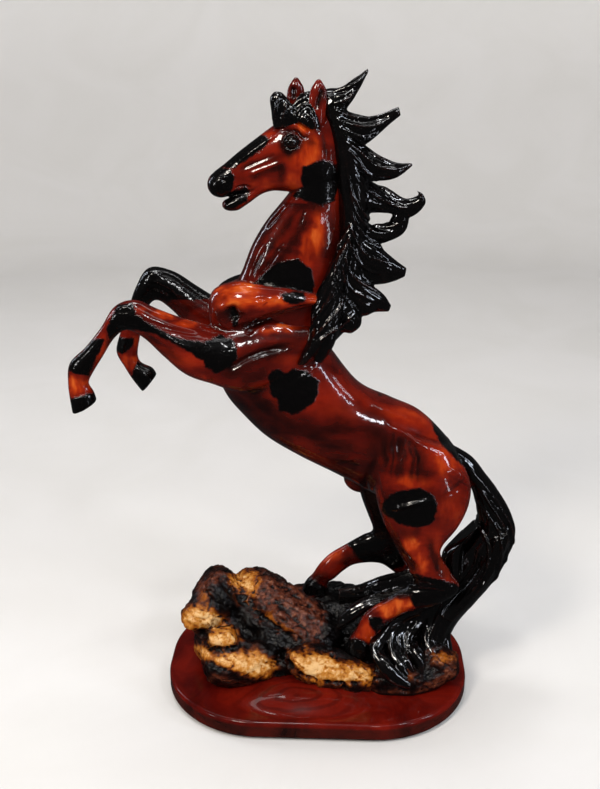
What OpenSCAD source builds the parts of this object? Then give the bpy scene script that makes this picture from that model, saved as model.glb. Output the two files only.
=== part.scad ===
// Rearing horse cast in resin, standing on a rock and an oval plinth.
// Millimetres, +Z up. The origin is the middle of the underside, and the horse faces -X.

/* [Plinth] */
// Length of the plinth
plinth_l = 200; // [190:1:208]
// Depth of the plinth
plinth_d = 144; // [138:1:154]
// Thickness of the plinth board
plinth_t = 12; // [10:0.5:14]
// Plan radius of the plinth's corners
plinth_r = 64; // [56:1:66]
// Radius of the plinth's rounded edges
edge_r = 2.5; // [1:0.5:4]
// Thickness of the felt under the plinth
felt_t = 1.5; // [1:0.25:2]

/* [Horse] */
// Half width of the barrel at the girth
barrel_w = 27; // [24:0.5:29]
// Half width of the neck at its base
neck_w = 19; // [17:0.5:21]
// Half width of the head at the eyes
head_w = 12.5; // [11:0.5:14]
// Turn of the head towards the horse's left
head_turn = 8; // [0:1:12]
// Half width of a cannon bone
cannon_w = 5; // [4:0.25:6]
// Radius of a glass eye
eye_r = 3.6; // [3:0.2:4.2]

/* [Hair] */
// Depth of the grooves between strands, as a share of a lock's thickness
groove = 0.12; // [0:0.01:0.2]
// Number of ridges round a lock
ridges = 5; // [4:1:6]

/* [Hardware] */
// Diameter of the steel wire in the hind legs
wire_d = 4; // [3:0.25:5]
// Diameter of the dowels that carry the forelegs, neck and tail
dowel_d = 5; // [4:0.5:6]
// Thread diameter of the plinth screws
screw_d = 4; // [3.5:0.5:5]

/* [Fineness] */
// Steps from one station of a loft to the next
steps = 2; // [2:1:3]

/* [Hidden] */
plinth_top = felt_t + plinth_t;

// A station of a loft is [ax, az, bx, bz, y, w, e]: the two edges a and b of the form in side view,
// the middle of its width, its half width and the squareness of its section, where 2 is an ellipse.

// Barrel, from the breast to the buttocks: back edge, belly edge
torso_stations = [
    [-61, 266, -66, 243, 0, barrel_w * 0.35, 2],
    [-55, 276, -65, 227, 0, barrel_w * 0.70, 2],
    [-38, 279, -58, 208, 0, barrel_w * 0.90, 2.1],
    [-16, 264, -48, 195, 0, barrel_w * 0.98, 2.2],
    [3, 241, -33, 180, 0, barrel_w, 2.2],
    [24, 214, -13, 168, 0, barrel_w * 1.02, 2.2],
    [45, 203.5, 8, 157, 0, barrel_w, 2.2],
    [63, 195.5, 27, 146, 0, barrel_w * 0.97, 2.1],
    [79, 180, 45, 136, 0, barrel_w * 0.92, 2.1],
    [90, 165, 62, 131, 0, barrel_w * 0.78, 2],
    [96, 148, 80, 131, 0, barrel_w * 0.48, 2],
    [96, 141, 91, 135, 0, barrel_w * 0.2, 2]];

// Breast muscle of the left side, from the front of the chest back to the mane: upper edge, lower edge
breast_stations = [
    [-66, 266, -65, 257, -12, 4, 2],
    [-62, 277, -61, 251, -15, 10.5, 2],
    [-48, 283, -47, 254, -18, 12.5, 2],
    [-32, 282, -31, 261, -19, 11, 2],
    [-15, 279.5, -14, 266, -18.5, 8, 2],
    [0, 275, 1, 270, -17, 4, 2]];
right_breast_drop = 5;

// Neck, from inside the shoulders to the poll: throat edge, crest edge
neck_stations = [
    [-52, 258, 4, 230, 0, neck_w, 2],
    [-52, 272, 8, 250, 0, neck_w, 2],
    [-46, 286, 13, 275, 0, neck_w * 0.9, 2],
    [-40, 301, 15, 300, 0, neck_w * 0.77, 2],
    [-31.5, 315, 14, 325, 0, neck_w * 0.68, 2],
    [-20, 329, 12, 349, 0, neck_w * 0.63, 2],
    [-8, 345, 8, 370, 0, neck_w * 0.53, 2],
    [0, 360, 4, 380, 0, neck_w * 0.36, 2]];

// Head, from the poll to the muzzle: face edge, jaw edge
head_stations = [
    [6, 382, 14, 352, 0, head_w * 0.55, 2],
    [-6, 382, 10, 335, 0, head_w * 0.86, 2.2],
    [-16, 376, -3, 329, 0, head_w, 2.3],
    [-26, 370, -17, 332, 0, head_w * 0.96, 2.3],
    [-36, 363, -29, 333, 0, head_w * 0.78, 2.3],
    [-47, 355, -41, 332, 0, head_w * 0.64, 2.2],
    [-55, 348.5, -50, 331, 0, head_w * 0.64, 2.2],
    [-61, 344, -58, 329.5, 0, head_w * 0.62, 2.2],
    [-64.5, 340, -63, 332, 0, head_w * 0.4, 2]];

// Lower jaw of the open mouth: upper edge, lower edge
jaw_stations = [
    [-18, 346, -16, 334, 0, head_w * 0.64, 2],
    [-32, 342, -32, 332, 0, head_w * 0.56, 2],
    [-42, 334, -42.5, 325.5, 0, head_w * 0.5, 2],
    [-49, 332, -49, 321.8, 0, head_w * 0.5, 2],
    [-55.5, 327, -56, 323, 0, head_w * 0.36, 2]];

// Ear, from its root to its tip: front edge, back edge
ear_stations = [
    [-4, 369, 3, 371, 0, 3, 2],
    [-6, 380, 4, 381, 0, 3.4, 2],
    [-5.5, 388, 4, 388.5, 0, 2.8, 2],
    [-2.5, 393.5, 1.5, 393.5, 0, 1, 2]];
left_ear_place = [-2, -8, 0];
right_ear_place = [-13, 7, 0];
eye_place = [-17.8, -11, 361.3];

// Left foreleg, from the shoulder blade to the hoof: front edge, back edge
left_foreleg_stations = [
    [-6, 256, 4, 242, -16, 5, 2],
    [-34, 258, -14, 227, -20, 9, 2],
    [-57, 256, -42, 217, -24, 12, 2],
    [-71, 260, -64, 223, -26, 12.5, 2],
    [-82, 264, -78, 229, -28, 11.5, 2],
    [-94, 269, -90, 240, -29, 9.5, 2],
    [-106, 274, -101, 251, -29, 8, 2],
    [-118, 270, -111, 256.5, -29, 7.5, 2.3],
    [-127, 257, -119.5, 250.5, -29, cannon_w * 1.15, 2.2],
    [-137, 245, -127, 239, -29, cannon_w, 2],
    [-147, 235, -133.5, 229, -29, cannon_w * 1.2, 2],
    [-149, 222, -136.5, 222.5, -29, cannon_w, 2],
    [-148.5, 213.5, -134, 217, -29, cannon_w * 1.35, 2],
    [-147.5, 203, -132.5, 211, -29, cannon_w * 1.6, 2]];

// Right foreleg, held higher and further back: front edge, back edge
right_foreleg_stations = [
    [-6, 256, 4, 242, 16, 5, 2],
    [-34, 258, -14, 227, 19, 9, 2],
    [-54, 256, -46, 217, 22, 12, 2],
    [-67, 262, -67, 229, 23, 12, 2],
    [-78, 269, -81, 240, 23, 11, 2],
    [-92, 278, -92, 252, 23, 9, 2],
    [-107, 280, -101, 259.5, 23, 8, 2.3],
    [-116, 267, -107, 257, 23, cannon_w * 1.25, 2.2],
    [-122, 251, -111.5, 247, 23, cannon_w, 2],
    [-128, 236, -115, 234, 23, cannon_w, 2],
    [-130.5, 225, -117, 223, 23, cannon_w * 1.2, 2],
    [-126, 215, -115, 217.5, 23, cannon_w, 2],
    [-121.5, 207, -108, 214, 23, cannon_w * 1.3, 2],
    [-115, 198, -105.5, 209.5, 23, cannon_w * 1.5, 2]];

// Left hind leg, from the haunch to the hoof: front edge, back edge
left_hind_stations = [
    [50, 192, 84, 176, -12, 12, 2],
    [37, 176, 94, 158, -17, 14, 2],
    [35, 157, 94, 143, -20, 15, 2],
    [38, 139, 88, 128, -21.5, 14, 2],
    [45, 122, 79, 115, -22.5, 11, 2],
    [52, 108, 78, 106, -23, 8.5, 2],
    [58, 97, 85, 95, -23, 7.5, 2.2],
    [61, 88, 91, 83, -23, 7, 2.2],
    [58, 85, 76, 71, -23, 6.5, 2.2],
    [50, 79, 59, 66, -23, cannon_w * 1.1, 2],
    [41, 72, 47, 58, -23, cannon_w, 2],
    [31, 63, 41, 50, -23, cannon_w * 1.25, 2],
    [26, 52, 36, 44, -23, cannon_w * 1.05, 2],
    [21, 43, 36.5, 37, -23, cannon_w * 1.4, 2],
    [14, 29, 35, 28, -23, cannon_w * 1.7, 2]];

// Right hind leg, set forward on the top of the rock: front edge, back edge
right_hind_stations = [
    [46, 186, 84, 172, 12, 12, 2],
    [32, 168, 86, 153, 16, 14, 2],
    [25, 148, 82, 137, 20, 14, 2],
    [27, 129, 72, 121, 23, 11.5, 2],
    [32, 113, 65, 104, 25, 9, 2],
    [36, 102, 66, 87, 26, 8, 2.2],
    [36, 97, 59, 64, 26, 7.5, 2.2],
    [30, 94, 43, 73, 26, 6.5, 2.2],
    [17, 85.5, 26, 72, 26, cannon_w * 1.1, 2],
    [7, 78.5, 17, 66, 26, cannon_w, 2],
    [0, 70, 11.5, 60.5, 26, cannon_w * 1.2, 2],
    [-4.5, 62.5, 7, 57, 26, cannon_w * 1.05, 2],
    [-9, 57, 6, 54, 26, cannon_w * 1.35, 2],
    [-13, 48, 5, 47, 26, cannon_w * 1.65, 2]];

// Mane, lock by lock from the poll to the withers: upper edge, lower edge
crest_stations = [
    [2, 387, -2, 374, 0, 5, 2],
    [10, 385, 4, 364, 0, 9, 2],
    [19, 367, 7, 350, 0, 11, 2],
    [26, 348, 9, 334, 0, 12, 2],
    [28, 327, 10, 316, 0, 12.5, 2],
    [28, 308, 9, 298, 0, 13, 2],
    [27, 288, 6, 280, 0, 15, 2],
    [25, 268, 2, 262, 0, 17, 2],
    [17, 252, -4, 246, 0, 18, 2],
    [4, 238, -10, 234, 0, 14, 2]];
mane_locks = [
    [[2, 389, 5, 368, 0, 8, 2], [11, 390.5, 14, 378, -1, 7, 2],
     [18, 395, 20, 387, -2, 4, 2], [25.5, 400, 26, 398, -2, 1, 2]],
    [[10, 379, 12, 354, 0, 10, 2], [20, 376, 25, 358.5, -2, 7, 2],
     [31, 375, 35, 367, -2, 4.5, 2], [43, 380, 44.5, 375, -3, 1.4, 2]],
    [[17, 364, 18, 338, 0, 11, 2], [29, 355, 32, 338.5, -2, 7, 2],
     [41, 349, 43, 340.5, -3, 4.5, 2], [52, 349, 52, 347, -3, 0.8, 2]],
    [[22, 342, 24, 320, 1, 10, 2], [37, 334, 41, 319, 2, 6, 2],
     [48, 328, 52, 317, 1, 5, 2], [56, 330, 60.5, 325, 0, 4, 2], [55, 333, 59, 331, -1, 2.5, 2]],
    [[52, 320, 43, 321, 1, 4, 2], [50.5, 310, 40, 315, 2, 5, 2], [45, 305, 37, 312.5, 2, 6, 2],
     [36, 301.5, 31, 313, 1, 7, 2], [26, 300, 24, 315, 0, 8, 2]],
    [[20, 312, 16, 288, -3, 10, 2], [32, 304, 28, 279, -4, 8, 2],
     [43, 294, 40, 279, -4, 5, 2], [51, 288, 50, 282.5, -3, 1.4, 2]],
    [[16, 298, 10, 276, -6, 10, 2], [28, 282, 24, 260.5, -8, 8, 2],
     [37, 274, 33, 262, -7, 5, 2], [42.5, 266, 41, 262, -6, 1.4, 2]],
    [[14, 284, 4, 268, -8, 9, 2], [22, 268, 10, 254, -11, 8, 2],
     [25, 259, 17, 250.5, -12, 5, 2], [24, 254, 20, 251, -12, 1.4, 2]]];

// Long locks that lie on each side of the neck, given for the left: upper edge, lower edge
side_locks = [
    [[18, 326, 12, 322, -9, 4, 2], [17, 298, 4, 292, -14, 6, 2], [13, 274, -4, 270, -18, 7, 2],
     [7, 254, -7, 250, -21, 7, 2], [-2, 238, -11, 236, -24, 5, 2], [-9, 230, -12, 231, -24, 1.5, 2]],
    [[16, 290, 8, 286, -13, 5, 2], [14, 266, 2, 262, -19, 6, 2],
     [9, 246, -2, 244, -22, 5, 2], [2, 235, -3, 236, -23, 1.5, 2]]];

// Forelock, two blunt rolls over the brow: front edge, back edge
forelock_locks = [
    [[-27, 368, -4, 374, -4, 6, 2], [-28.5, 378, -15, 380, -4.5, 5.4, 2],
     [-29, 384.5, -19.5, 384.5, -4, 4.6, 2], [-26.5, 388, -22.5, 387.5, -4, 2, 2]],
    [[-12, 387, -4, 388, -2, 4, 2], [-16, 381, -2, 381, -5, 4.8, 2],
     [-16, 374, -2, 374, -8.5, 5, 2], [-7, 368, -2, 369, -12, 1.5, 2]]];

// Tail, from the dock to the ground: outer edge, inner edge
tail_stations = [
    [78, 176, 81, 160, 2, 6, 2],
    [96, 165, 92, 152, 3, 7.5, 2],
    [107, 152, 98, 142, 4, 9, 2],
    [118, 137, 102, 128, 5, 10.5, 2],
    [126, 122, 103, 118, 5, 12, 2],
    [129, 110, 98, 108, 5, 13, 2],
    [126, 95, 90, 98, 4, 13, 2],
    [118, 77, 83, 86, 3, 13, 2],
    [106, 61, 77, 72, 2, 14, 2],
    [94, 46, 71, 56, 0, 15, 2],
    [88, 33, 66, 40, -3, 17, 2],
    [86, 20, 60, 24, -6, 18, 2]];
tail_locks = [
    [[106, 122, 93, 110, 0, 8, 2], [96, 108, 81, 99, -4, 7, 2],
     [94, 96, 81, 88, -6, 6, 2], [94, 84, 84, 78, -8, 4, 2]],
    [[124, 118, 110, 110, -4, 8, 2], [121, 94, 102, 90, -7, 8, 2],
     [107, 72, 90, 72, -10, 7, 2], [92, 54, 80, 58, -14, 5, 2]],
    [[72, 67, 76, 55, -4, 7, 2], [50.5, 58, 56, 48.5, -12, 6, 2], [42, 51, 48.5, 42.5, -20, 5.5, 2],
     [34, 44, 43.5, 41.5, -28, 5.5, 2], [37, 34.5, 46.5, 39.5, -36, 5, 2],
     [47, 25, 53.5, 32, -42, 4.5, 2], [59.5, 21, 62, 25.5, -44, 2, 2]],
    [[74.5, 66, 81.5, 58, -2, 7, 2], [62.5, 54.5, 71.5, 47.5, -8, 6.5, 2],
     [55.5, 45, 65, 42, -16, 6, 2], [58, 36, 67, 41, -24, 5.5, 2],
     [63.5, 30, 71.5, 34, -30, 5, 2], [64.5, 24, 70.5, 26.5, -34, 2.5, 2]],
    [[92, 58, 80, 60, 0, 8, 2], [91, 48, 81, 48, -3, 7.5, 2], [89.5, 39, 80, 39.5, -10, 6.5, 2],
     [90.5, 32, 82.5, 32, -16, 5, 2], [89, 24, 84, 25, -20, 2.5, 2]],
    [[84, 82, 80, 62, 4, 8, 2], [62, 78, 58, 58, 8, 8, 2], [44, 71, 42, 52, 12, 7, 2],
     [30, 63, 29, 48, 14, 6, 2], [14, 57, 14, 48, 16, 4, 2]],
    [[67, 72, 73, 60, 2, 7, 2], [51, 67, 52, 55, 0, 7, 2], [32, 64, 35.5, 53, -4, 7, 2],
     [17, 55, 24, 47.5, -8, 6, 2], [11.5, 45.5, 16, 43, -12, 2, 2]],
    [[96, 60, 82, 52, 8, 8, 2], [84, 45, 70, 36, 22, 8, 2],
     [72, 32, 58, 26, 33, 7, 2], [62, 20, 52, 17, 39, 3, 2]]];

// Boulders of the rock: middle, half sizes, turns and a number that varies the bumps
boulders = [
    [[2, 4, 10], [87, 48, 17], [0, 0, 0], 1],
    [[-70, 6, 50], [17, 23, 25], [0, 14, 0], 2],
    [[-78, -13, 53], [13, 13, 10], [0, 0, 20], 3],
    [[-62, -32, 49], [12, 10, 7.5], [0, 12, 0], 4],
    [[-24, 0, 45], [44, 23, 16], [24, 20, -30], 5],
    [[-51, -29, 29], [28, 17, 16], [12, 2, 4], 6],
    [[8, -35, 29.5], [31, 13, 12.5], [8, 12, -4], 7],
    [[2, 24, 28], [62, 26, 22], [0, 0, 6], 8],
    [[46, 14, 26], [42, 34, 20], [0, 8, 0], 9],
    [[79, -20, 26], [15, 15, 12], [0, 0, 30], 10],
    [[54, -22, 19], [33, 21, 14], [0, 0, -8], 11],
    [[-60, 6, 30], [26, 28, 20], [0, 0, 0], 12],
    [[-20, -13, 25], [28, 24, 12], [0, 0, 0], 13]];

// Smooth swellings, each the middle, half sizes and turns
plinth_mound = [[-6, -40, plinth_top - 10], [50, 27, 19], [0, 0, 0]];
mound_box = [plinth_l, plinth_d, plinth_t * 1.9];
sheath_swell = [[24, 0, 147], [9, 7, 6], [0, 34, 0]];
jowl_swell = [[-2, 0, 345], [15, 12.4, 17], [0, 0, 0]];

// Places of the hidden hardware
screw_places = [[-58, 2], [14, 4], [54, 12]];
screw_l = 26;
screw_head_d = 2 * screw_d;
screw_head_h = 0.6 * screw_d;
driver_slot = screw_d / 4;
neck_dowel_foot = [-22, 0, 222];
neck_dowel_l = 60;
foreleg_dowel_place = [-54, 11, 240];
foreleg_dowel_l = 20;
tail_dowel_foot = [76, 2, 160];
tail_dowel_l = 19;
mane_pin_places = [[6, 0, 352], [6, 0, 318], [5, 0, 284]];
mane_pin_d = 3;
mane_pin_l = 14;
wire_from = 2;
wire_bury = 10;
felt_inset = 4;

// Bumps of a boulder, the squareness of its section, and the rows and sides of the lumps
rock_bump = 0.08;
boulder_square = 2.5;
lump_rows = 8;
boulder_sides = 14;
swell_sides = 16;

// Sides of the lofts
barrel_sides = 24;
neck_sides = 20;
head_sides = 18;
limb_sides = 14;
breast_sides = 12;
jaw_sides = 12;
crest_sides = 12;
ear_sides = 8;
wire_sides = 8;
lock_sides = 2 * ridges;
tail_sides = 4 * ridges;

// Row between rows b and c, at the share t, of a smooth curve through a, b, c and d
function between(a, b, c, d, t) = 0.5 * (2 * b + (c - a) * t
    + (2 * a - 5 * b + 4 * c - d) * t * t + (3 * b - a - 3 * c + d) * t * t * t);

// Stations of a smooth form, with n steps from each given station to the next
function smooth(rows, n) = let (last = len(rows) - 1) [
    for (i = [0:last - 1], k = [0:n - 1])
        between(rows[max(i - 1, 0)], rows[i], rows[i + 1], rows[min(i + 2, last)], k / n),
    rows[last]];

function signed_power(v, p) = sign(v) * pow(abs(v), p);

// Ring of points round one station, with ridges of the given depth
function ring(s, sides, depth = 0) = [for (k = [0:sides - 1])
    let (t = 360 * k / sides,
         r = 1 - depth * (1 - cos(ridges * t)) / 2,
         c = r * signed_power(cos(t), 2 / s[6]),
         q = r * signed_power(sin(t), 2 / s[6]))
    [(s[0] + s[2] + (s[0] - s[2]) * c) / 2, s[4] + s[5] * q, (s[1] + s[3] + (s[1] - s[3]) * c) / 2]];

function middle(points) = [for (p = points) 1] * points / len(points);

// Closed skin over a row of rings, with a flat face at each end
module skin(rings) {
    n = len(rings);
    m = len(rings[0]);
    along = middle(rings[1]) - middle(rings[0]);
    turn = cross(rings[0][1] - rings[0][0], rings[0][2] - rings[0][1]);
    sides = [for (i = [0:n - 2], k = [0:m - 1]) let (a = i * m + k, b = i * m + (k + 1) % m)
        each [[a, b, b + m], [a, b + m, a + m]]];
    ends = [[for (k = [m - 1:-1:0]) k], [for (k = [0:m - 1]) (n - 1) * m + k]];
    faces = concat(sides, ends);
    outward = turn * along < 0;
    polyhedron([for (r = rings) each r],
        outward ? faces : [for (f = faces) [for (k = [len(f) - 1:-1:0]) f[k]]]);
}

module loft(stations, sides, depth = 0) {
    skin([for (s = smooth(stations, steps)) ring(s, sides, depth)]);
}

// Round tube along a path that lies in one side view
function tube_rings(path, r, sides) = let (last = len(path) - 1) [for (i = [0:last])
    let (t = path[min(i + 1, last)] - path[max(i - 1, 0)],
         n = cross(t / norm(t), [0, 1, 0]),
         side = cross(n / norm(n), t / norm(t)))
    [for (k = [0:sides - 1])
        path[i] + r * (cos(360 * k / sides) * n / norm(n) + sin(360 * k / sides) * side)]];

// Rings of a rounded lump, with bumps of the given height that vary with the seed
function lump_rings(size, bump, seed, sides, e) = [for (i = [0:lump_rows])
    let (lat = -80 + 160 * i / lump_rows)
    [for (k = [0:sides - 1])
        let (lon = 360 * k / sides,
             wave = sin(3 * lon + 70 * seed) * cos(lat) + 0.7 * sin(2 * lon + 5 * lat + 40 * seed),
             f = 1 + bump * wave)
        [size.x * f * cos(lat) * signed_power(cos(lon), 2 / e),
         size.y * f * cos(lat) * signed_power(sin(lon), 2 / e),
         size.z * f * signed_power(sin(lat), 2 / e)]]];

module boulder(b) {
    translate(b[0]) rotate(b[2]) skin(lump_rings(b[1], rock_bump, b[3], boulder_sides, boulder_square));
}

module swell(s) {
    translate(s[0]) rotate(s[2]) skin(lump_rings(s[1], 0, 0, swell_sides, 2));
}

// Section of the board from one x to another, with its right edge rounded, or both where edges is 2
module board_section(from, to, edges) {
    translate([from, edge_r]) square([to - from, plinth_t - 2 * edge_r]);
    translate([from + (edges > 1 ? edge_r : 0), 0])
        square([to - from - edge_r * edges, plinth_t]);
    for (z = [edge_r, plinth_t - edge_r]) translate([to - edge_r, z]) circle(edge_r, $fn = 32);
    if (edges > 1) for (z = [edge_r, plinth_t - edge_r])
        translate([from + edge_r, z]) circle(edge_r, $fn = 32);
}

// Board with round plan corners and rounded edges, standing on z = 0
module board() {
    corner_x = plinth_l / 2 - plinth_r;
    corner_y = plinth_d / 2 - plinth_r;
    translate([-corner_x, 0, 0]) rotate([90, 0, 90])
        linear_extrude(2 * corner_x) board_section(-plinth_d / 2, plinth_d / 2, 2);
    translate([0, corner_y, 0]) rotate([90, 0, 0])
        linear_extrude(2 * corner_y) board_section(-plinth_l / 2, plinth_l / 2, 2);
    for (x = [-corner_x, corner_x], y = [-corner_y, corner_y])
        translate([x, y, 0]) rotate_extrude($fn = 96) board_section(0, plinth_r, 1);
}

// Outline of the board seen from above, drawn in by the inset
module plan(inset) {
    square([plinth_l - 2 * inset, plinth_d - 2 * plinth_r], center = true);
    square([plinth_l - 2 * plinth_r, plinth_d - 2 * inset], center = true);
    for (x = [-1, 1], y = [-1, 1])
        translate([x * (plinth_l / 2 - plinth_r), y * (plinth_d / 2 - plinth_r)])
            circle(plinth_r - inset, $fn = 96);
}

module screw_form() {
    cylinder(h = screw_head_h, d1 = screw_head_d, d2 = screw_d, $fn = 32);
    cylinder(h = screw_l - screw_d, d = screw_d, $fn = 32);
    translate([0, 0, screw_l - screw_d]) cylinder(h = screw_d, d1 = screw_d, d2 = 0.5, $fn = 32);
}

module screws_form() {
    for (p = screw_places) translate([p.x, p.y, felt_t]) screw_form();
}

module plinth() {
    color("maroon") difference() {
        union() {
            translate([0, 0, felt_t]) board();
            intersection() {
                swell(plinth_mound);
                translate([0, 0, plinth_top]) cube(mound_box, center = true);
            }
        }
        screws_form();
    }
}

module felt_pad() {
    color("darkgreen") linear_extrude(felt_t) plan(felt_inset);
}

module plinth_screws() {
    color("silver") difference() {
        screws_form();
        for (p = screw_places, a = [0, 90]) translate([p.x, p.y, felt_t]) rotate(a)
            cube([screw_head_d * 0.6, driver_slot, screw_head_h], center = true);
    }
}

module rock_form() {
    difference() {
        for (b = boulders) boulder(b);
        translate([0, 0, plinth_top / 2 - plinth_l / 2])
            cube([plinth_l * 2, plinth_d * 2, plinth_top + plinth_l], center = true);
        swell(plinth_mound);
    }
}

module rock() {
    color("peru") difference() {
        rock_form();
        left_hind_form();
        right_hind_form();
        left_wire_form();
        right_wire_form();
        screws_form();
    }
}

module torso_form() {
    loft(torso_stations, barrel_sides);
    loft(breast_stations, breast_sides);
    translate([0, 0, -right_breast_drop]) mirror([0, 1, 0]) loft(breast_stations, breast_sides);
    swell(sheath_swell);
}

module neck_dowel_form() {
    translate(neck_dowel_foot) cylinder(h = neck_dowel_l, d = dowel_d, $fn = 32);
}

module foreleg_dowels_form() {
    for (side = [-1, 1])
        translate([foreleg_dowel_place.x, side * foreleg_dowel_place.y, foreleg_dowel_place.z])
            rotate([-90 * side, 0, 0]) cylinder(h = foreleg_dowel_l, d = dowel_d, $fn = 32);
}

module tail_dowel_form() {
    translate(tail_dowel_foot) rotate([0, 90, 0]) cylinder(h = tail_dowel_l, d = dowel_d, $fn = 32);
}

module mane_pins_form() {
    for (p = mane_pin_places)
        translate(p) rotate([0, 90, 0]) cylinder(h = mane_pin_l, d = mane_pin_d, $fn = 24);
}

module left_hind_form() { loft(left_hind_stations, limb_sides); }

module right_hind_form() { loft(right_hind_stations, limb_sides); }

// Middle of a hind leg from the thigh down, with its last point under the hoof, in the rock
function wire_path(stations) = let (last = len(stations) - 1)
    smooth([for (i = [wire_from:last]) let (s = stations[i])
        [(s[0] + s[2]) / 2, s[4], (s[1] + s[3]) / 2 - (i == last ? wire_bury : 0)]], steps);

module left_wire_form() { skin(tube_rings(wire_path(left_hind_stations), wire_d / 2, wire_sides)); }

module right_wire_form() { skin(tube_rings(wire_path(right_hind_stations), wire_d / 2, wire_sides)); }

module torso() {
    color("sienna") difference() {
        torso_form();
        neck_dowel_form();
        foreleg_dowels_form();
        tail_dowel_form();
        left_wire_form();
        right_wire_form();
    }
}

// Carries its children round with the head
module on_head() {
    rotate(head_turn) children();
}

module eyes_form(sides) {
    on_head() for (side = sides)
        translate([eye_place.x, side * eye_place.y, eye_place.z]) sphere(eye_r, $fn = 32);
}

module head_form() {
    on_head() {
        loft(head_stations, head_sides);
        loft(jaw_stations, jaw_sides);
        swell(jowl_swell);
        translate(left_ear_place) loft(ear_stations, ear_sides);
        translate(right_ear_place) loft(ear_stations, ear_sides);
    }
}

module neck_form() { loft(neck_stations, neck_sides); }

module head_and_neck() {
    color("sienna") difference() {
        union() {
            neck_form();
            head_form();
        }
        torso_form();
        eyes_form([1, -1]);
        neck_dowel_form();
        mane_pins_form();
    }
}

module left_eye() {
    color("black") eyes_form([1]);
}

module right_eye() {
    color("black") eyes_form([-1]);
}

module foreleg(stations) {
    color("sienna") difference() {
        loft(stations, limb_sides);
        torso_form();
        neck_form();
        foreleg_dowels_form();
    }
}

module left_foreleg() { foreleg(left_foreleg_stations); }

module right_foreleg() { foreleg(right_foreleg_stations); }

module left_hind_leg() {
    color("sienna") difference() {
        left_hind_form();
        torso_form();
        left_wire_form();
    }
}

module right_hind_leg() {
    color("sienna") difference() {
        right_hind_form();
        torso_form();
        right_wire_form();
    }
}

module left_hind_wire() {
    color("silver") left_wire_form();
}

module right_hind_wire() {
    color("silver") right_wire_form();
}

module neck_dowel() {
    color("silver") neck_dowel_form();
}

module foreleg_dowels() {
    color("silver") foreleg_dowels_form();
}

module tail_dowel() {
    color("silver") tail_dowel_form();
}

module mane_pins() {
    color("silver") mane_pins_form();
}

module mane() {
    color("black") difference() {
        union() {
            loft(crest_stations, crest_sides);
            for (l = mane_locks) loft(l, lock_sides, groove);
            for (l = side_locks, side = [0, 1]) mirror([0, side, 0]) loft(l, lock_sides, groove);
        }
        torso_form();
        neck_form();
        head_form();
        loft(left_foreleg_stations, limb_sides);
        loft(right_foreleg_stations, limb_sides);
        mane_pins_form();
    }
}

module forelock() {
    color("black") difference() {
        on_head() for (l = forelock_locks) loft(l, lock_sides, groove);
        head_form();
        neck_form();
    }
}

module tail() {
    color("black") difference() {
        union() {
            loft(tail_stations, tail_sides, groove);
            for (l = tail_locks) loft(l, lock_sides, groove);
        }
        torso_form();
        left_hind_form();
        right_hind_form();
        rock_form();
        swell(plinth_mound);
        tail_dowel_form();
        left_wire_form();
        right_wire_form();
    }
}

plinth();
felt_pad();
plinth_screws();
rock();
torso();
head_and_neck();
left_foreleg();
right_foreleg();
left_hind_leg();
right_hind_leg();
left_hind_wire();
right_hind_wire();
neck_dowel();
foreleg_dowels();
tail_dowel();
mane();
mane_pins();
forelock();
tail();
left_eye();
right_eye();
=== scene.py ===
import math

import bmesh
import bpy
import numpy as np
from mathutils import Matrix, Vector, noise


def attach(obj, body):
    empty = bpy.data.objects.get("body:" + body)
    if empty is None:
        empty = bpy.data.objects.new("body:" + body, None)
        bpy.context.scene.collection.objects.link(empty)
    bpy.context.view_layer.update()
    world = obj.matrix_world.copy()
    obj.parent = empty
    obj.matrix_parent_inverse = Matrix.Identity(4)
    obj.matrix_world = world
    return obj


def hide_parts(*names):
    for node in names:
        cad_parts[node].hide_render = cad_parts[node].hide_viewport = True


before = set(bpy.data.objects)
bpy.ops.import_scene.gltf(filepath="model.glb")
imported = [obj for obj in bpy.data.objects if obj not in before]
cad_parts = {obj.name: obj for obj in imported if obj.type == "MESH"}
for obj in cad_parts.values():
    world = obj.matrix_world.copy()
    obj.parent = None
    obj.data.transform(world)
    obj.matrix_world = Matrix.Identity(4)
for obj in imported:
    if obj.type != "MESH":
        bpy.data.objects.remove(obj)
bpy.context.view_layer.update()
scene = bpy.context.scene
mm = 0.001
headTurn = math.radians(8)  # the head looks a little to the horse's left
# the photograph's camera, in mm and degrees
view = {"target": (-12.0, 0.0, 206.1), "azimuth": 2.33, "elevation": 21, "distance": 640,
        "lens": 46.96, "sensor": 36}
print("frame loaded, nodes:", len(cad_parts))


# small helpers

def tint(code):  # sRGB hex to linear colour
    parts = [int(code[i:i + 2], 16) / 255 for i in (1, 3, 5)]
    return tuple(c / 12.92 if c <= 0.04045 else ((c + 0.055) / 1.055) ** 2.4 for c in parts) + (1.0,)


def feed(tree, socket, value):  # an output is linked, anything else is set
    if isinstance(value, bpy.types.NodeSocket):
        tree.links.new(value, socket)
    else:
        socket.default_value = value


def addNode(tree, kind, ins=None, out=0, stops=None, **settings):  # gives back the output that is used
    node = tree.nodes.new("ShaderNode" + kind)
    for name, value in settings.items():
        setattr(node, name, value)
    for key, value in (ins or {}).items():
        feed(tree, node.inputs[key], value)
    if stops:
        ramp = node.color_ramp
        while len(ramp.elements) < len(stops):
            ramp.elements.new(0.5)
        for element, (at, code) in zip(ramp.elements, stops):
            element.position, element.color = at, tint(code)
    return node.outputs[out]


def newMaterial(name):
    material = bpy.data.materials.new(name)
    material.use_nodes = True
    tree = material.node_tree
    return material, tree, tree.nodes["Principled BSDF"], addNode(tree, "TexCoord", out="Object")


def setShader(tree, shader, **values):
    for name, value in values.items():
        feed(tree, shader.inputs[name.replace("_", " ")], value)


def placeObject(mesh, name):
    piece = bpy.data.objects.new(name, mesh)
    scene.collection.objects.link(piece)
    return piece


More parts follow.
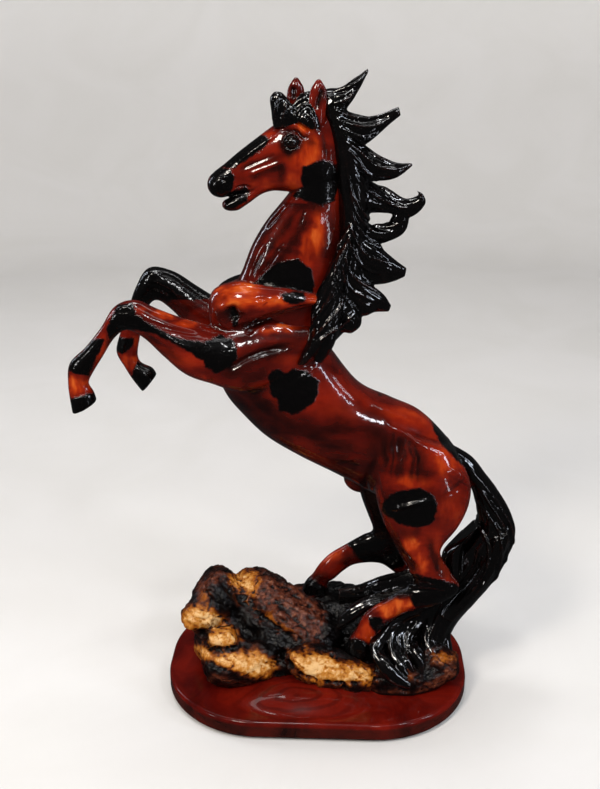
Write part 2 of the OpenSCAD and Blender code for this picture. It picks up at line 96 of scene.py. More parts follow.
def shadeSmooth(mesh):
    mesh.polygons.foreach_set("use_smooth", np.ones(len(mesh.polygons), bool))
    mesh.update()


def meshObject(bm, name):
    mesh = bpy.data.meshes.new(name)
    bm.to_mesh(mesh)
    bm.free()
    shadeSmooth(mesh)
    return placeObject(mesh, name)


def cadShape(node):  # a copy of a CAD solid to work on
    bm = bmesh.new()
    bm.from_mesh(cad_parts[node].data)
    bmesh.ops.remove_doubles(bm, verts=bm.verts, dist=0.02 * mm)
    return bm


def soften(bm, factor):
    bmesh.ops.smooth_vert(bm, verts=bm.verts, factor=factor,
                          use_axis_x=True, use_axis_y=True, use_axis_z=True)


def dress(piece, material, slot, *nodes):
    piece.data.materials.clear()
    piece.data.materials.append(material)
    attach(piece, "root")
    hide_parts(*nodes)


def pointsOf(mesh):  # in mm
    co = np.empty(len(mesh.vertices) * 3, np.float32)
    mesh.vertices.foreach_get("co", co)
    return co.reshape(-1, 3).astype(float) / mm


def normalsOf(mesh):
    no = np.empty(len(mesh.vertices) * 3, np.float32)
    mesh.vertex_normals.foreach_get("vector", no)
    return no.reshape(-1, 3).astype(float)


def putPoints(mesh, co):
    mesh.vertices.foreach_set("co", (co * mm).astype(np.float32).ravel())
    mesh.update()


def paint(mesh, name, values):
    layer = mesh.attributes.new(name, "FLOAT", "POINT")
    layer.data.foreach_set("value", np.asarray(values, np.float32))


def ease(none, full, v):  # 0 up to none, 1 from full on, whichever is the larger
    t = np.clip((v - none) / (full - none), 0, 1)
    return t * t * (3 - 2 * t)


def ripple(co, size):  # noise from about -1 to 1 with lumps of the given size in mm
    return np.array([noise.fractal(Vector(p) / size, 1.0, 2.0, 3) for p in co])


# forms from stations: [ax, az, bx, bz, y, half width, squareness (2, an oval, if left out)], in mm

def smoothRows(rows, share):
    rows = np.array(rows, float)
    last = len(rows) - 1
    at = np.clip(share, 0, 1) * last
    i = np.minimum(at.astype(int), last - 1)
    t = (at - i)[:, None]
    a, b, c, d = rows[np.maximum(i - 1, 0)], rows[i], rows[i + 1], rows[np.minimum(i + 2, last)]
    bend, twist = 2 * a - 5 * b + 4 * c - d, 3 * b - a - 3 * c + d
    return 0.5 * (2 * b + (c - a) * t + bend * t ** 2 + twist * t ** 3)


def addTube(bm, sides, rings):  # a cylinder of unit size, cut across
    bmesh.ops.create_cone(bm, cap_ends=True, segments=sides, radius1=1, radius2=1, depth=1)
    upright = [e for e in bm.edges if abs(e.verts[0].co.z - e.verts[1].co.z) > 0.5]
    bmesh.ops.subdivide_edges(bm, edges=upright, cuts=rings - 2)


def loftShell(bm, rows, sides, rings, strands=None, shift=(0, 0, 0), turn=0.0, flip=1):
    shell = bmesh.new()
    addTube(shell, sides, rings)
    verts = list(shell.verts)
    co = np.array([v.co for v in verts])
    share, angle = co[:, 2] + 0.5, np.arctan2(co[:, 1], co[:, 0])
    ax, az, bx, bz, middle, half, square = smoothRows([[*row, 2][:7] for row in rows], share).T
    power = 2 / square
    c = np.sign(np.cos(angle)) * np.abs(np.cos(angle)) ** power
    q = np.sign(np.sin(angle)) * np.abs(np.sin(angle)) ** power
    if strands:
        r = strands(share, angle)
        c, q = c * r, q * r
    x = (ax + bx + (ax - bx) * c) / 2 + shift[0]
    y = (middle + half * q + shift[1]) * flip
    z = (az + bz + (az - bz) * c) / 2 + shift[2]
    cs, sn = math.cos(turn), math.sin(turn)
    for v, px, py, pz in zip(verts, x * cs - y * sn, x * sn + y * cs, z):
        v.co = Vector((px, py, pz)) * mm
    joined = bpy.data.meshes.new("shell")
    shell.to_mesh(joined)
    shell.free()
    bm.from_mesh(joined)
    bpy.data.meshes.remove(joined)


def swellShell(bm, middle, size, lean=0.0, turn=0.0):  # an egg, lean in degrees
    place = Matrix.Rotation(turn, 4, "Z") @ Matrix.Scale(mm, 4) @ Matrix.Translation(middle)
    place = place @ Matrix.Rotation(math.radians(lean), 4, "Y") @ Matrix.Diagonal((*size, 1))
    bmesh.ops.create_icosphere(bm, subdivisions=4, radius=1, matrix=place)


def keepLargest(bm):  # drops the skins of closed hollows inside
    left, best = set(bm.verts), []
    while left:
        front = [left.pop()]
        found = list(front)
        while front:
            ring = {e.other_vert(v) for v in front for e in v.link_edges} & left
            left -= ring
            front = list(ring)
            found += front
        best = max(best, found, key=len)
    chosen = set(best)
    bmesh.ops.delete(bm, geom=[v for v in bm.verts if v not in chosen], context="VERTS")


def castSkin(bm, voxel, passes, name):  # one closed skin over every shell, softened where they meet
    bmesh.ops.recalc_face_normals(bm, faces=bm.faces)
    shells = bpy.data.meshes.new(name + "_shells")
    bm.to_mesh(shells)
    bm.free()
    piece = placeObject(shells, name)
    skin = piece.modifiers.new("skin", "REMESH")
    skin.mode, skin.voxel_size = "VOXEL", voxel * mm
    whole = bpy.data.meshes.new_from_object(piece.evaluated_get(bpy.context.evaluated_depsgraph_get()))
    piece.modifiers.clear()
    bm = bmesh.new()
    bm.from_mesh(whole)
    keepLargest(bm)
    for step in range(passes):
        soften(bm, 0.5)
    bm.to_mesh(whole)
    bm.free()
    whole.name = name
    piece.data = whole
    bpy.data.meshes.remove(shells)
    shadeSmooth(whole)
    print(name, "skin:", len(whole.polygons), "faces")
    return piece


# sculpting strokes and paint on a skin, placed in the front view:
# mm right of and above the middle of the picture

def viewAxes():
    az, el = math.radians(view["azimuth"]), math.radians(view["elevation"])
    away = np.array([math.sin(az) * math.cos(el), -math.cos(az) * math.cos(el), math.sin(el)])
    right = np.array([math.cos(az), math.sin(az), 0.0])
    return right, np.cross(away, right), away


def frontView(co):
    right, up, away = viewAxes()
    d = co - np.array(view["target"])
    near = view["distance"] / (view["distance"] - d @ away)
    return np.stack([d @ right * near, d @ up * near], 1)


def towards(no, none=0.05, full=0.4):  # 1 where a normal points to the camera, 0 where it turns away
    return ease(none, full, no @ viewAxes()[2])


def turnedOver(v, flip, turn=0.0):  # mirrored in the horse's middle plane, or the head's, where flip holds
    across = np.array([-math.sin(turn), math.cos(turn), 0.0])
    return v - 2 * np.where(flip, v @ across, 0)[:, None] * across


def lineDistance(at, path):  # mm to a line of points
    best = np.full(len(at), 1e9)
    for a, b in zip(path[:-1], path[1:]):
        a, b = np.array(a, float), np.array(b, float)
        t = np.clip(((at - a) @ (b - a)) / max((b - a) @ (b - a), 1e-9), 0, 1)
        best = np.minimum(best, np.hypot(*(at - a - t[:, None] * (b - a)).T))
    return best


def inside(at, corners):  # mm inside an outline, negative outside
    ring = corners + corners[:1]
    x, y = at.T
    odd = np.zeros(len(at), bool)
    for (ax, ay), (bx, by) in zip(ring[:-1], ring[1:]):
        if ay != by:
            odd ^= ((y > ay) != (y > by)) & (x < ax + (y - ay) * (bx - ax) / (by - ay))
    return np.where(odd, 1, -1) * lineDistance(at, ring)


def insideAny(at, outlines):
    return np.max([inside(at, outline) for outline in outlines], 0)


def brush(at, line, width, taper=0.3):  # 0 to 1 along a smooth line, running out at both ends
    pts = smoothRows(line, np.linspace(0, 1, 4 * len(line) - 3))
    near = np.all((at > pts.min(0) - 3 * width) & (at < pts.max(0) + 3 * width), 1)
    spot, steps = at[near], np.hypot(*np.diff(pts, axis=0).T)
    best, share, done = np.full(len(spot), 1e9), np.zeros(len(spot)), 0.0
    for a, b, step in zip(pts[:-1], pts[1:], steps):
        t = np.clip(((spot - a) @ (b - a)) / max(step ** 2, 1e-9), 0, 1)
        d = np.hypot(*(spot - a - t[:, None] * (b - a)).T)
        share = np.where(d < best, (done + t * step) / steps.sum(), share)
        best, done = np.minimum(best, d), done + step
    out = np.zeros(len(at))
    out[near] = np.exp(-(best / width) ** 2) * ease(0, taper, share) * ease(0, taper, 1 - share)
    return out


def carve(mesh, strokes, at, weight):  # strokes: line, half width and height in mm
    move = sum(height * brush(at, line, width) for line, width, height in strokes)
    putPoints(mesh, pointsOf(mesh) + normalsOf(mesh) * (move * weight)[:, None])


def shade(at, lines, soft=1.5):  # soft brush lines: line, half width in mm, amount
    return sum(amount * brush(at, line, soft * width) for line, width, amount in lines)


def spots(at, ovals, edge=(-0.5, 0.6)):  # soft ovals: middle, half sizes in mm, amount
    x, y = at.T
    return sum(amount * ease(*edge, 1 - np.hypot((x - left) / wide, (y - up) / tall))
               for (left, up), (wide, tall), amount in ovals)


def spread(mesh, values, rounds, own=0.3):  # evened out over neighbours, keeping a share of its own
    ends = np.empty(len(mesh.edges) * 2, np.int32)
    mesh.edges.foreach_get("vertices", ends)
    a, b = ends.reshape(-1, 2).T
    n = len(mesh.vertices)
    count = np.maximum(np.bincount(a, minlength=n) + np.bincount(b, minlength=n), 1)[:, None]
    v = np.asarray(values, float).reshape(n, -1)
    for step in range(rounds):
        total = np.stack([np.bincount(a, k[b], n) + np.bincount(b, k[a], n) for k in v.T], 1)
        v = own * v + (1 - own) * total / count
    return v


def hollows(mesh, rounds):  # how far a point lies under the evened surface, in mm
    co = pointsOf(mesh)
    return ((spread(mesh, co, rounds) - co) * normalsOf(mesh)).sum(1)


# materials

def lacquer(tree, shader, colour, bump, **values):  # a hard clear coat over the paint
    setShader(tree, shader, Base_Color=colour, Normal=bump, Coat_Normal=bump, IOR=1.45,
              Specular_IOR_Level=0.1, Coat_Weight=1.0, Coat_Roughness=0.04, Coat_IOR=1.45)
    setShader(tree, shader, **values)


def mahoganyLacquer():
    # cast resin, sprayed red mahogany, patched by brush in black, glazed and lacquered, with painted shade in
    # the hollows:
    # warm orange painted highlight, also where the paint is thin, near black glaze and painted shade, and a
    # hard wet shine
    material, tree, shader, place = newMaterial("resin mahogany lacquered")
    along = addNode(tree, "Mapping", {"Vector": place, "Rotation": (0, math.radians(38), 0),
                                      "Scale": (0.35, 1, 1)})
    cloud = addNode(tree, "TexNoise", {"Vector": along, "Scale": 1 / (24 * mm), "Detail": 4, "Roughness": 0.6,
                                       "Distortion": 0.6})
    base = addNode(tree, "ValToRGB", {"Fac": cloud},
                   stops=[(0.30, "#260402"), (0.45, "#4b0a04"), (0.60, "#6c1305"), (0.78, "#821c07")])
    # streaks are brushed along the body, but down the legs and neck
    down = addNode(tree, "Mapping", {"Vector": place, "Scale": (1, 1, 0.3)})
    limb = addNode(tree, "Attribute", out="Fac", attribute_name="limb")
    level = addNode(tree, "TexNoise", {"Vector": along, "Scale": 1 / (7 * mm), "Detail": 3,
                                       "Roughness": 0.55})
    upright = addNode(tree, "TexNoise", {"Vector": down, "Scale": 1 / (6 * mm), "Detail": 3,
                                         "Roughness": 0.55})
    streak = addNode(tree, "Mix", {0: limb, 2: level, 3: upright}, data_type="FLOAT")
    # painted highlight: orange where light falls, and where the paint is wiped thin
    glow = addNode(tree, "Attribute", out="Fac", attribute_name="glow")
    highlightFade = addNode(tree, "Math", {0: streak, 1: 2.4, 2: -0.42}, operation="MULTIPLY_ADD")
    lit = addNode(tree, "Math", {0: glow, 1: highlightFade}, operation="MULTIPLY", use_clamp=True)
    orange = addNode(tree, "ValToRGB", {"Fac": lit},
                     stops=[(0.25, "#9c2507"), (0.65, "#b93a0c"), (1.0, "#cd5a1e")])
    warm = addNode(tree, "Mix", {0: lit, 6: base, 7: orange}, out=2, data_type="RGBA")
    # dark glaze, and painted shade in the hollows and underneath
    glazeAndShade = addNode(tree, "Attribute", out="Fac", attribute_name="glazeAndShade")
    gathered = addNode(tree, "Math", {0: streak, 1: 0.8, 2: -0.4}, operation="MULTIPLY_ADD")
    darkening = addNode(tree, "Math", {0: glazeAndShade, 1: gathered}, operation="ADD", use_clamp=True)
    dark = addNode(tree, "Mix", {0: darkening, 6: warm, 7: tint("#120302")}, out=2, data_type="RGBA")
    # black patches with ragged edges
    ragged = addNode(tree, "TexNoise", {"Vector": place, "Scale": 1 / (5 * mm), "Detail": 5,
                                        "Roughness": 0.7})
    edge = addNode(tree, "Math", {0: ragged, 1: 5.0, 2: -2.5}, operation="MULTIPLY_ADD")
    black = addNode(tree, "Attribute", out="Fac", attribute_name="black")
    reach = addNode(tree, "Math", {0: black, 1: edge}, operation="ADD")
    patch = addNode(tree, "MapRange", {"Value": reach, "From Min": -0.9, "From Max": 0.7},
                    interpolation_type="SMOOTHSTEP")
    colour = addNode(tree, "Mix", {0: patch, 6: dark, 7: tint("#040303")}, out=2, data_type="RGBA")
    # orange peel all over, and brush marks in the thicker black
    peel = addNode(tree, "TexNoise", {"Vector": place, "Scale": 1 / (5 * mm), "Detail": 3})
    bump = addNode(tree, "Bump", {"Height": peel, "Strength": 0.35, "Distance": 0.6 * mm})
    crinkle = addNode(tree, "TexNoise", {"Vector": along, "Scale": 1 / (2.4 * mm), "Detail": 2,
                                         "Distortion": 0.6})
    thick = addNode(tree, "Math", {0: crinkle, 1: patch}, operation="MULTIPLY")
    brushed = addNode(tree, "Bump", {"Height": thick, "Strength": 0.5, "Distance": 0.6 * mm, "Normal": bump})
    lacquer(tree, shader, colour, brushed, Roughness=0.24)
    return material


def blackLacquer():
    # the same resin brushed black over the combed strands: brown undercoat shows where the crests are rubbed,
    # and a thicker coat makes the fine crests glint
    material, tree, shader, place = newMaterial("resin black lacquered")
    patchy = addNode(tree, "TexNoise", {"Vector": place, "Scale": 1 / (9 * mm), "Detail": 4,
                                        "Roughness": 0.6})
    rub = addNode(tree, "Attribute", out="Fac", attribute_name="rub")
    worn = addNode(tree, "Math", {0: patchy, 1: rub}, operation="MULTIPLY")
    colour = addNode(tree, "ValToRGB", {"Fac": worn},
                     stops=[(0.2, "#030202"), (0.44, "#060404"), (0.62, "#1a0906"), (0.9, "#3c1609")])
    grit = addNode(tree, "TexNoise", {"Vector": place, "Scale": 1 / (1.8 * mm), "Detail": 3})
    bump = addNode(tree, "Bump", {"Height": grit, "Strength": 0.15, "Distance": 0.4 * mm})
    lacquer(tree, shader, colour, bump, Roughness=0.3, Specular_IOR_Level=0.02,
            Coat_Roughness=0.03, Coat_IOR=1.62)
    return material


def rockLacquer():
    # resin rock: black undercoat, maroon rubbed over it, gold dry-brushed on the high places, and a thin
    # lacquer, so it looks worn and half dull; the pits are left black, and darkened further as painted shade
    material, tree, shader, place = newMaterial("resin rock dry brushed")
    bent = addNode(tree, "TexNoise", {"Vector": place, "Scale": 1 / (13 * mm), "Detail": 4, "Roughness": 0.6,
                                      "Distortion": 1.0})
    speck = addNode(tree, "TexNoise", {"Vector": place, "Scale": 1 / (2.2 * mm), "Detail": 4,
                                       "Roughness": 0.65, "Distortion": 0.8})
    rubbed = addNode(tree, "Attribute", out="Fac", attribute_name="rubbed")
    gold = addNode(tree, "Attribute", out="Fac", attribute_name="gold")
    grain = addNode(tree, "Math", {0: speck, 1: 0.9, 2: 0.5}, operation="MULTIPLY_ADD")
    thin = addNode(tree, "Math", {0: rubbed, 1: grain}, operation="MULTIPLY", use_clamp=True)
    dull = addNode(tree, "ValToRGB", {"Fac": thin},
                   stops=[(0.05, "#050303"), (0.35, "#240d08"), (0.65, "#562717"), (1.0, "#8f5a42")])
    cover = addNode(tree, "Math", {0: bent, 1: 1.1, 2: 0.4}, operation="MULTIPLY_ADD")
    worn = addNode(tree, "Math", {0: gold, 1: cover}, operation="MULTIPLY")
    share = addNode(tree, "Math", {0: worn, 1: grain}, operation="MULTIPLY", use_clamp=True)
    bright = addNode(tree, "ValToRGB", {"Fac": share},
                     stops=[(0.06, "#200b06"), (0.3, "#552309"), (0.55, "#94500f"), (0.8, "#c38236"),
                            (1.0, "#e8bb80")])
    over = addNode(tree, "MapRange", {"Value": share, "From Min": 0.05, "From Max": 0.35},
                   interpolation_type="SMOOTHSTEP")
    colour = addNode(tree, "Mix", {0: over, 6: dull, 7: bright}, out=2, data_type="RGBA")
    bump = addNode(tree, "Bump", {"Height": speck, "Strength": 0.6, "Distance": 0.9 * mm})
    lacquer(tree, shader, colour, bump, Roughness=0.4, Specular_IOR_Level=0.06, Coat_Weight=0.55,
            Coat_Roughness=0.06, Coat_IOR=1.4)
    return material


def plinthLacquer():
    # resin plinth sprayed deep red and lacquered: one soft burl drawn by hand on the front, a browner side
    material, tree, shader, place = newMaterial("resin plinth grained")
    cloud = addNode(tree, "TexNoise", {"Vector": place, "Scale": 1 / (30 * mm), "Detail": 4, "Roughness": 0.6,
                                       "Distortion": 0.8})
    red = addNode(tree, "ValToRGB", {"Fac": cloud},
                  stops=[(0.32, "#330605"), (0.5, "#520b06"), (0.7, "#701409")])
    wide, deep = 11, 26  # scale of the burl, broader than it is deep; its heart is at x -12, y -53 mm
    burl = addNode(tree, "Mapping", {"Vector": place, "Location": (0.012 * wide, 0.053 * deep, 0),
                                     "Scale": (wide, deep, 0)})
    rings = addNode(tree, "TexWave", {"Vector": burl, "Scale": 2.3, "Distortion": 7.0, "Detail": 2,
                                      "Detail Scale": 0.8},
                    out="Fac", wave_type="RINGS", rings_direction="Z", wave_profile="SIN")
    far = addNode(tree, "VectorMath", {0: burl}, out="Value", operation="LENGTH")
    fade = addNode(tree, "MapRange", {"Value": far, "From Min": 0.15, "From Max": 0.7,
                                      "To Min": 0.42, "To Max": 0.0},
                   interpolation_type="SMOOTHSTEP")
    line = addNode(tree, "MapRange", {"Value": rings, "From Min": 0.45, "From Max": 0.0},
                   interpolation_type="SMOOTHSTEP")
    drawn = addNode(tree, "Math", {0: line, 1: fade}, operation="MULTIPLY")
    warm = addNode(tree, "Mix", {0: fade, 6: red, 7: tint("#7c1a0b")}, out=2, data_type="RGBA")
    top = addNode(tree, "Mix", {0: drawn, 6: warm, 7: tint("#240504")}, out=2, data_type="RGBA")
    height = addNode(tree, "SeparateXYZ", {0: place}, out="Z")
    low = addNode(tree, "MapRange", {"Value": height, "From Min": 0.0115, "From Max": 0.0095},
                  interpolation_type="SMOOTHSTEP")
    sideColour = addNode(tree, "ValToRGB", {"Fac": cloud},
                      stops=[(0.35, "#1c0a08"), (0.5, "#37110c"), (0.66, "#4a120c")])
    colour = addNode(tree, "Mix", {0: low, 6: top, 7: sideColour}, out=2, data_type="RGBA")
    peel = addNode(tree, "TexNoise", {"Vector": place, "Scale": 1 / (6 * mm), "Detail": 2})
    bump = addNode(tree, "Bump", {"Height": peel, "Strength": 0.12, "Distance": 0.4 * mm})
    lacquer(tree, shader, colour, bump, Roughness=0.25, Coat_Weight=0.4)
    return material


def eyeBead():
    # moulded glass bead: black with a brown cast in places, polished
    material, tree, shader, place = newMaterial("glass eye bead moulded")
    cast = addNode(tree, "TexNoise", {"Vector": place, "Scale": 1 / (3 * mm), "Detail": 2})
    colour = addNode(tree, "ValToRGB", {"Fac": cast}, stops=[(0.4, "#030202"), (0.7, "#140907")])
    setShader(tree, shader, Base_Color=colour, Roughness=0.06, IOR=1.5, Specular_IOR_Level=0.2,
              Coat_Weight=1.0, Coat_Roughness=0.02, Coat_IOR=1.5)
    return material


def feltPad():
    # pressed wool felt, dark green: dull, with short fibres that catch the light at a grazing angle
    material, tree, shader, place = newMaterial("wool felt pressed")
    fibre = addNode(tree, "TexNoise", {"Vector": place, "Scale": 1 / (1.5 * mm), "Detail": 5,
                                       "Roughness": 0.7})
    colour = addNode(tree, "ValToRGB", {"Fac": fibre}, stops=[(0.3, "#0c1f14"), (0.7, "#1d3a28")])
    bump = addNode(tree, "Bump", {"Height": fibre, "Strength": 0.6, "Distance": 0.3 * mm})
    setShader(tree, shader, Base_Color=colour, Normal=bump, Roughness=0.95, IOR=1.45, Sheen_Weight=0.4,
              Sheen_Roughness=0.6)
    return material


def drawnSteel():
    # drawn mild steel wire and turned pins: grey, clouded a little darker and lighter
    material, tree, shader, place = newMaterial("steel drawn")
    marks = addNode(tree, "TexNoise", {"Vector": place, "Scale": 1 / (2 * mm), "Detail": 4})
    colour = addNode(tree, "ValToRGB", {"Fac": marks}, stops=[(0.3, "#7c7d7f"), (0.7, "#a9aaac")])
    setShader(tree, shader, Base_Color=colour, Metallic=1.0, Roughness=0.35)
    return material


mahogany, blackHair = mahoganyLacquer(), blackLacquer()
rockPaint, plinthPaint = rockLacquer(), plinthLacquer()
beadGlass, felt, steel = eyeBead(), feltPad(), drawnSteel()
print("materials made")


# paint shared by the body and the head

# glaze with painted shade in the hollows, and the depths over which the painted highlight fades out of them
paintAndShade = {"inHollows": 0.75, "rounds": 3, "strength": 1.6, "most": 4, "highlightFade": (0.1, 0.4),
             "blackReach": 20}  # mm


def paintBlack(mesh, depth):  # mm inside the black patches, as far as their edges reach
    reach = paintAndShade["blackReach"]
    paint(mesh, "black", np.clip(depth, -reach, reach))


def unsteady(at, co, stray, size, otherSize):  # places as an unsteady hand would hit them, straying in mm
    apart = 40  # mm, so that the two noises differ
    return at + stray * np.stack([ripple(co, size), ripple(co + apart, otherSize)], 1)


def glazeShadeAndHighlight(mesh, co, at, part, other, prefix, more=0.0):
    # dark glaze along brushed lines, painted shade in the hollows, underneath and in the creases, and orange
    # spots of painted highlight where light falls and the paint is thin; where other holds, the lines and
    # spots are those named with the prefix
    deep = hollows(mesh, part["hollowRounds"])
    none, full, under = part["shadeUnderneath"]
    # painted shade in the hollows and on the slopes that face down
    glazeAndShade = spread(mesh, ease(*part["hollowShadeDepth"], deep) * paintAndShade["inHollows"], paintAndShade["rounds"])[:, 0]
    glazeAndShade = glazeAndShade + ease(none, full, -normalsOf(mesh)[:, 2]) * under + more
    hand = unsteady(at, co, *part["glazeHand"])
    glazeAndShade = glazeAndShade + np.where(other, shade(hand, part[prefix + "Glaze"]), shade(hand, part["glazeAndShade"]))
    paint(mesh, "glazeAndShade", 1 - np.exp(-paintAndShade["strength"] * np.clip(glazeAndShade, 0, paintAndShade["most"])))
    # orange painted highlight, faded out of the hollows
    hand = unsteady(at, co, *part["glowHand"])
    glow = np.where(other, spots(hand, part[prefix + "Glow"]), spots(hand, part["glow"]))
    paint(mesh, "glow", np.clip(part["glowAmount"] * glow * (1 - ease(*paintAndShade["highlightFade"], deep)), 0, 1))


# body and legs

barrel, neckHalf, headHalf, cannon = 27, 19, 12.5, 5  # half widths in mm
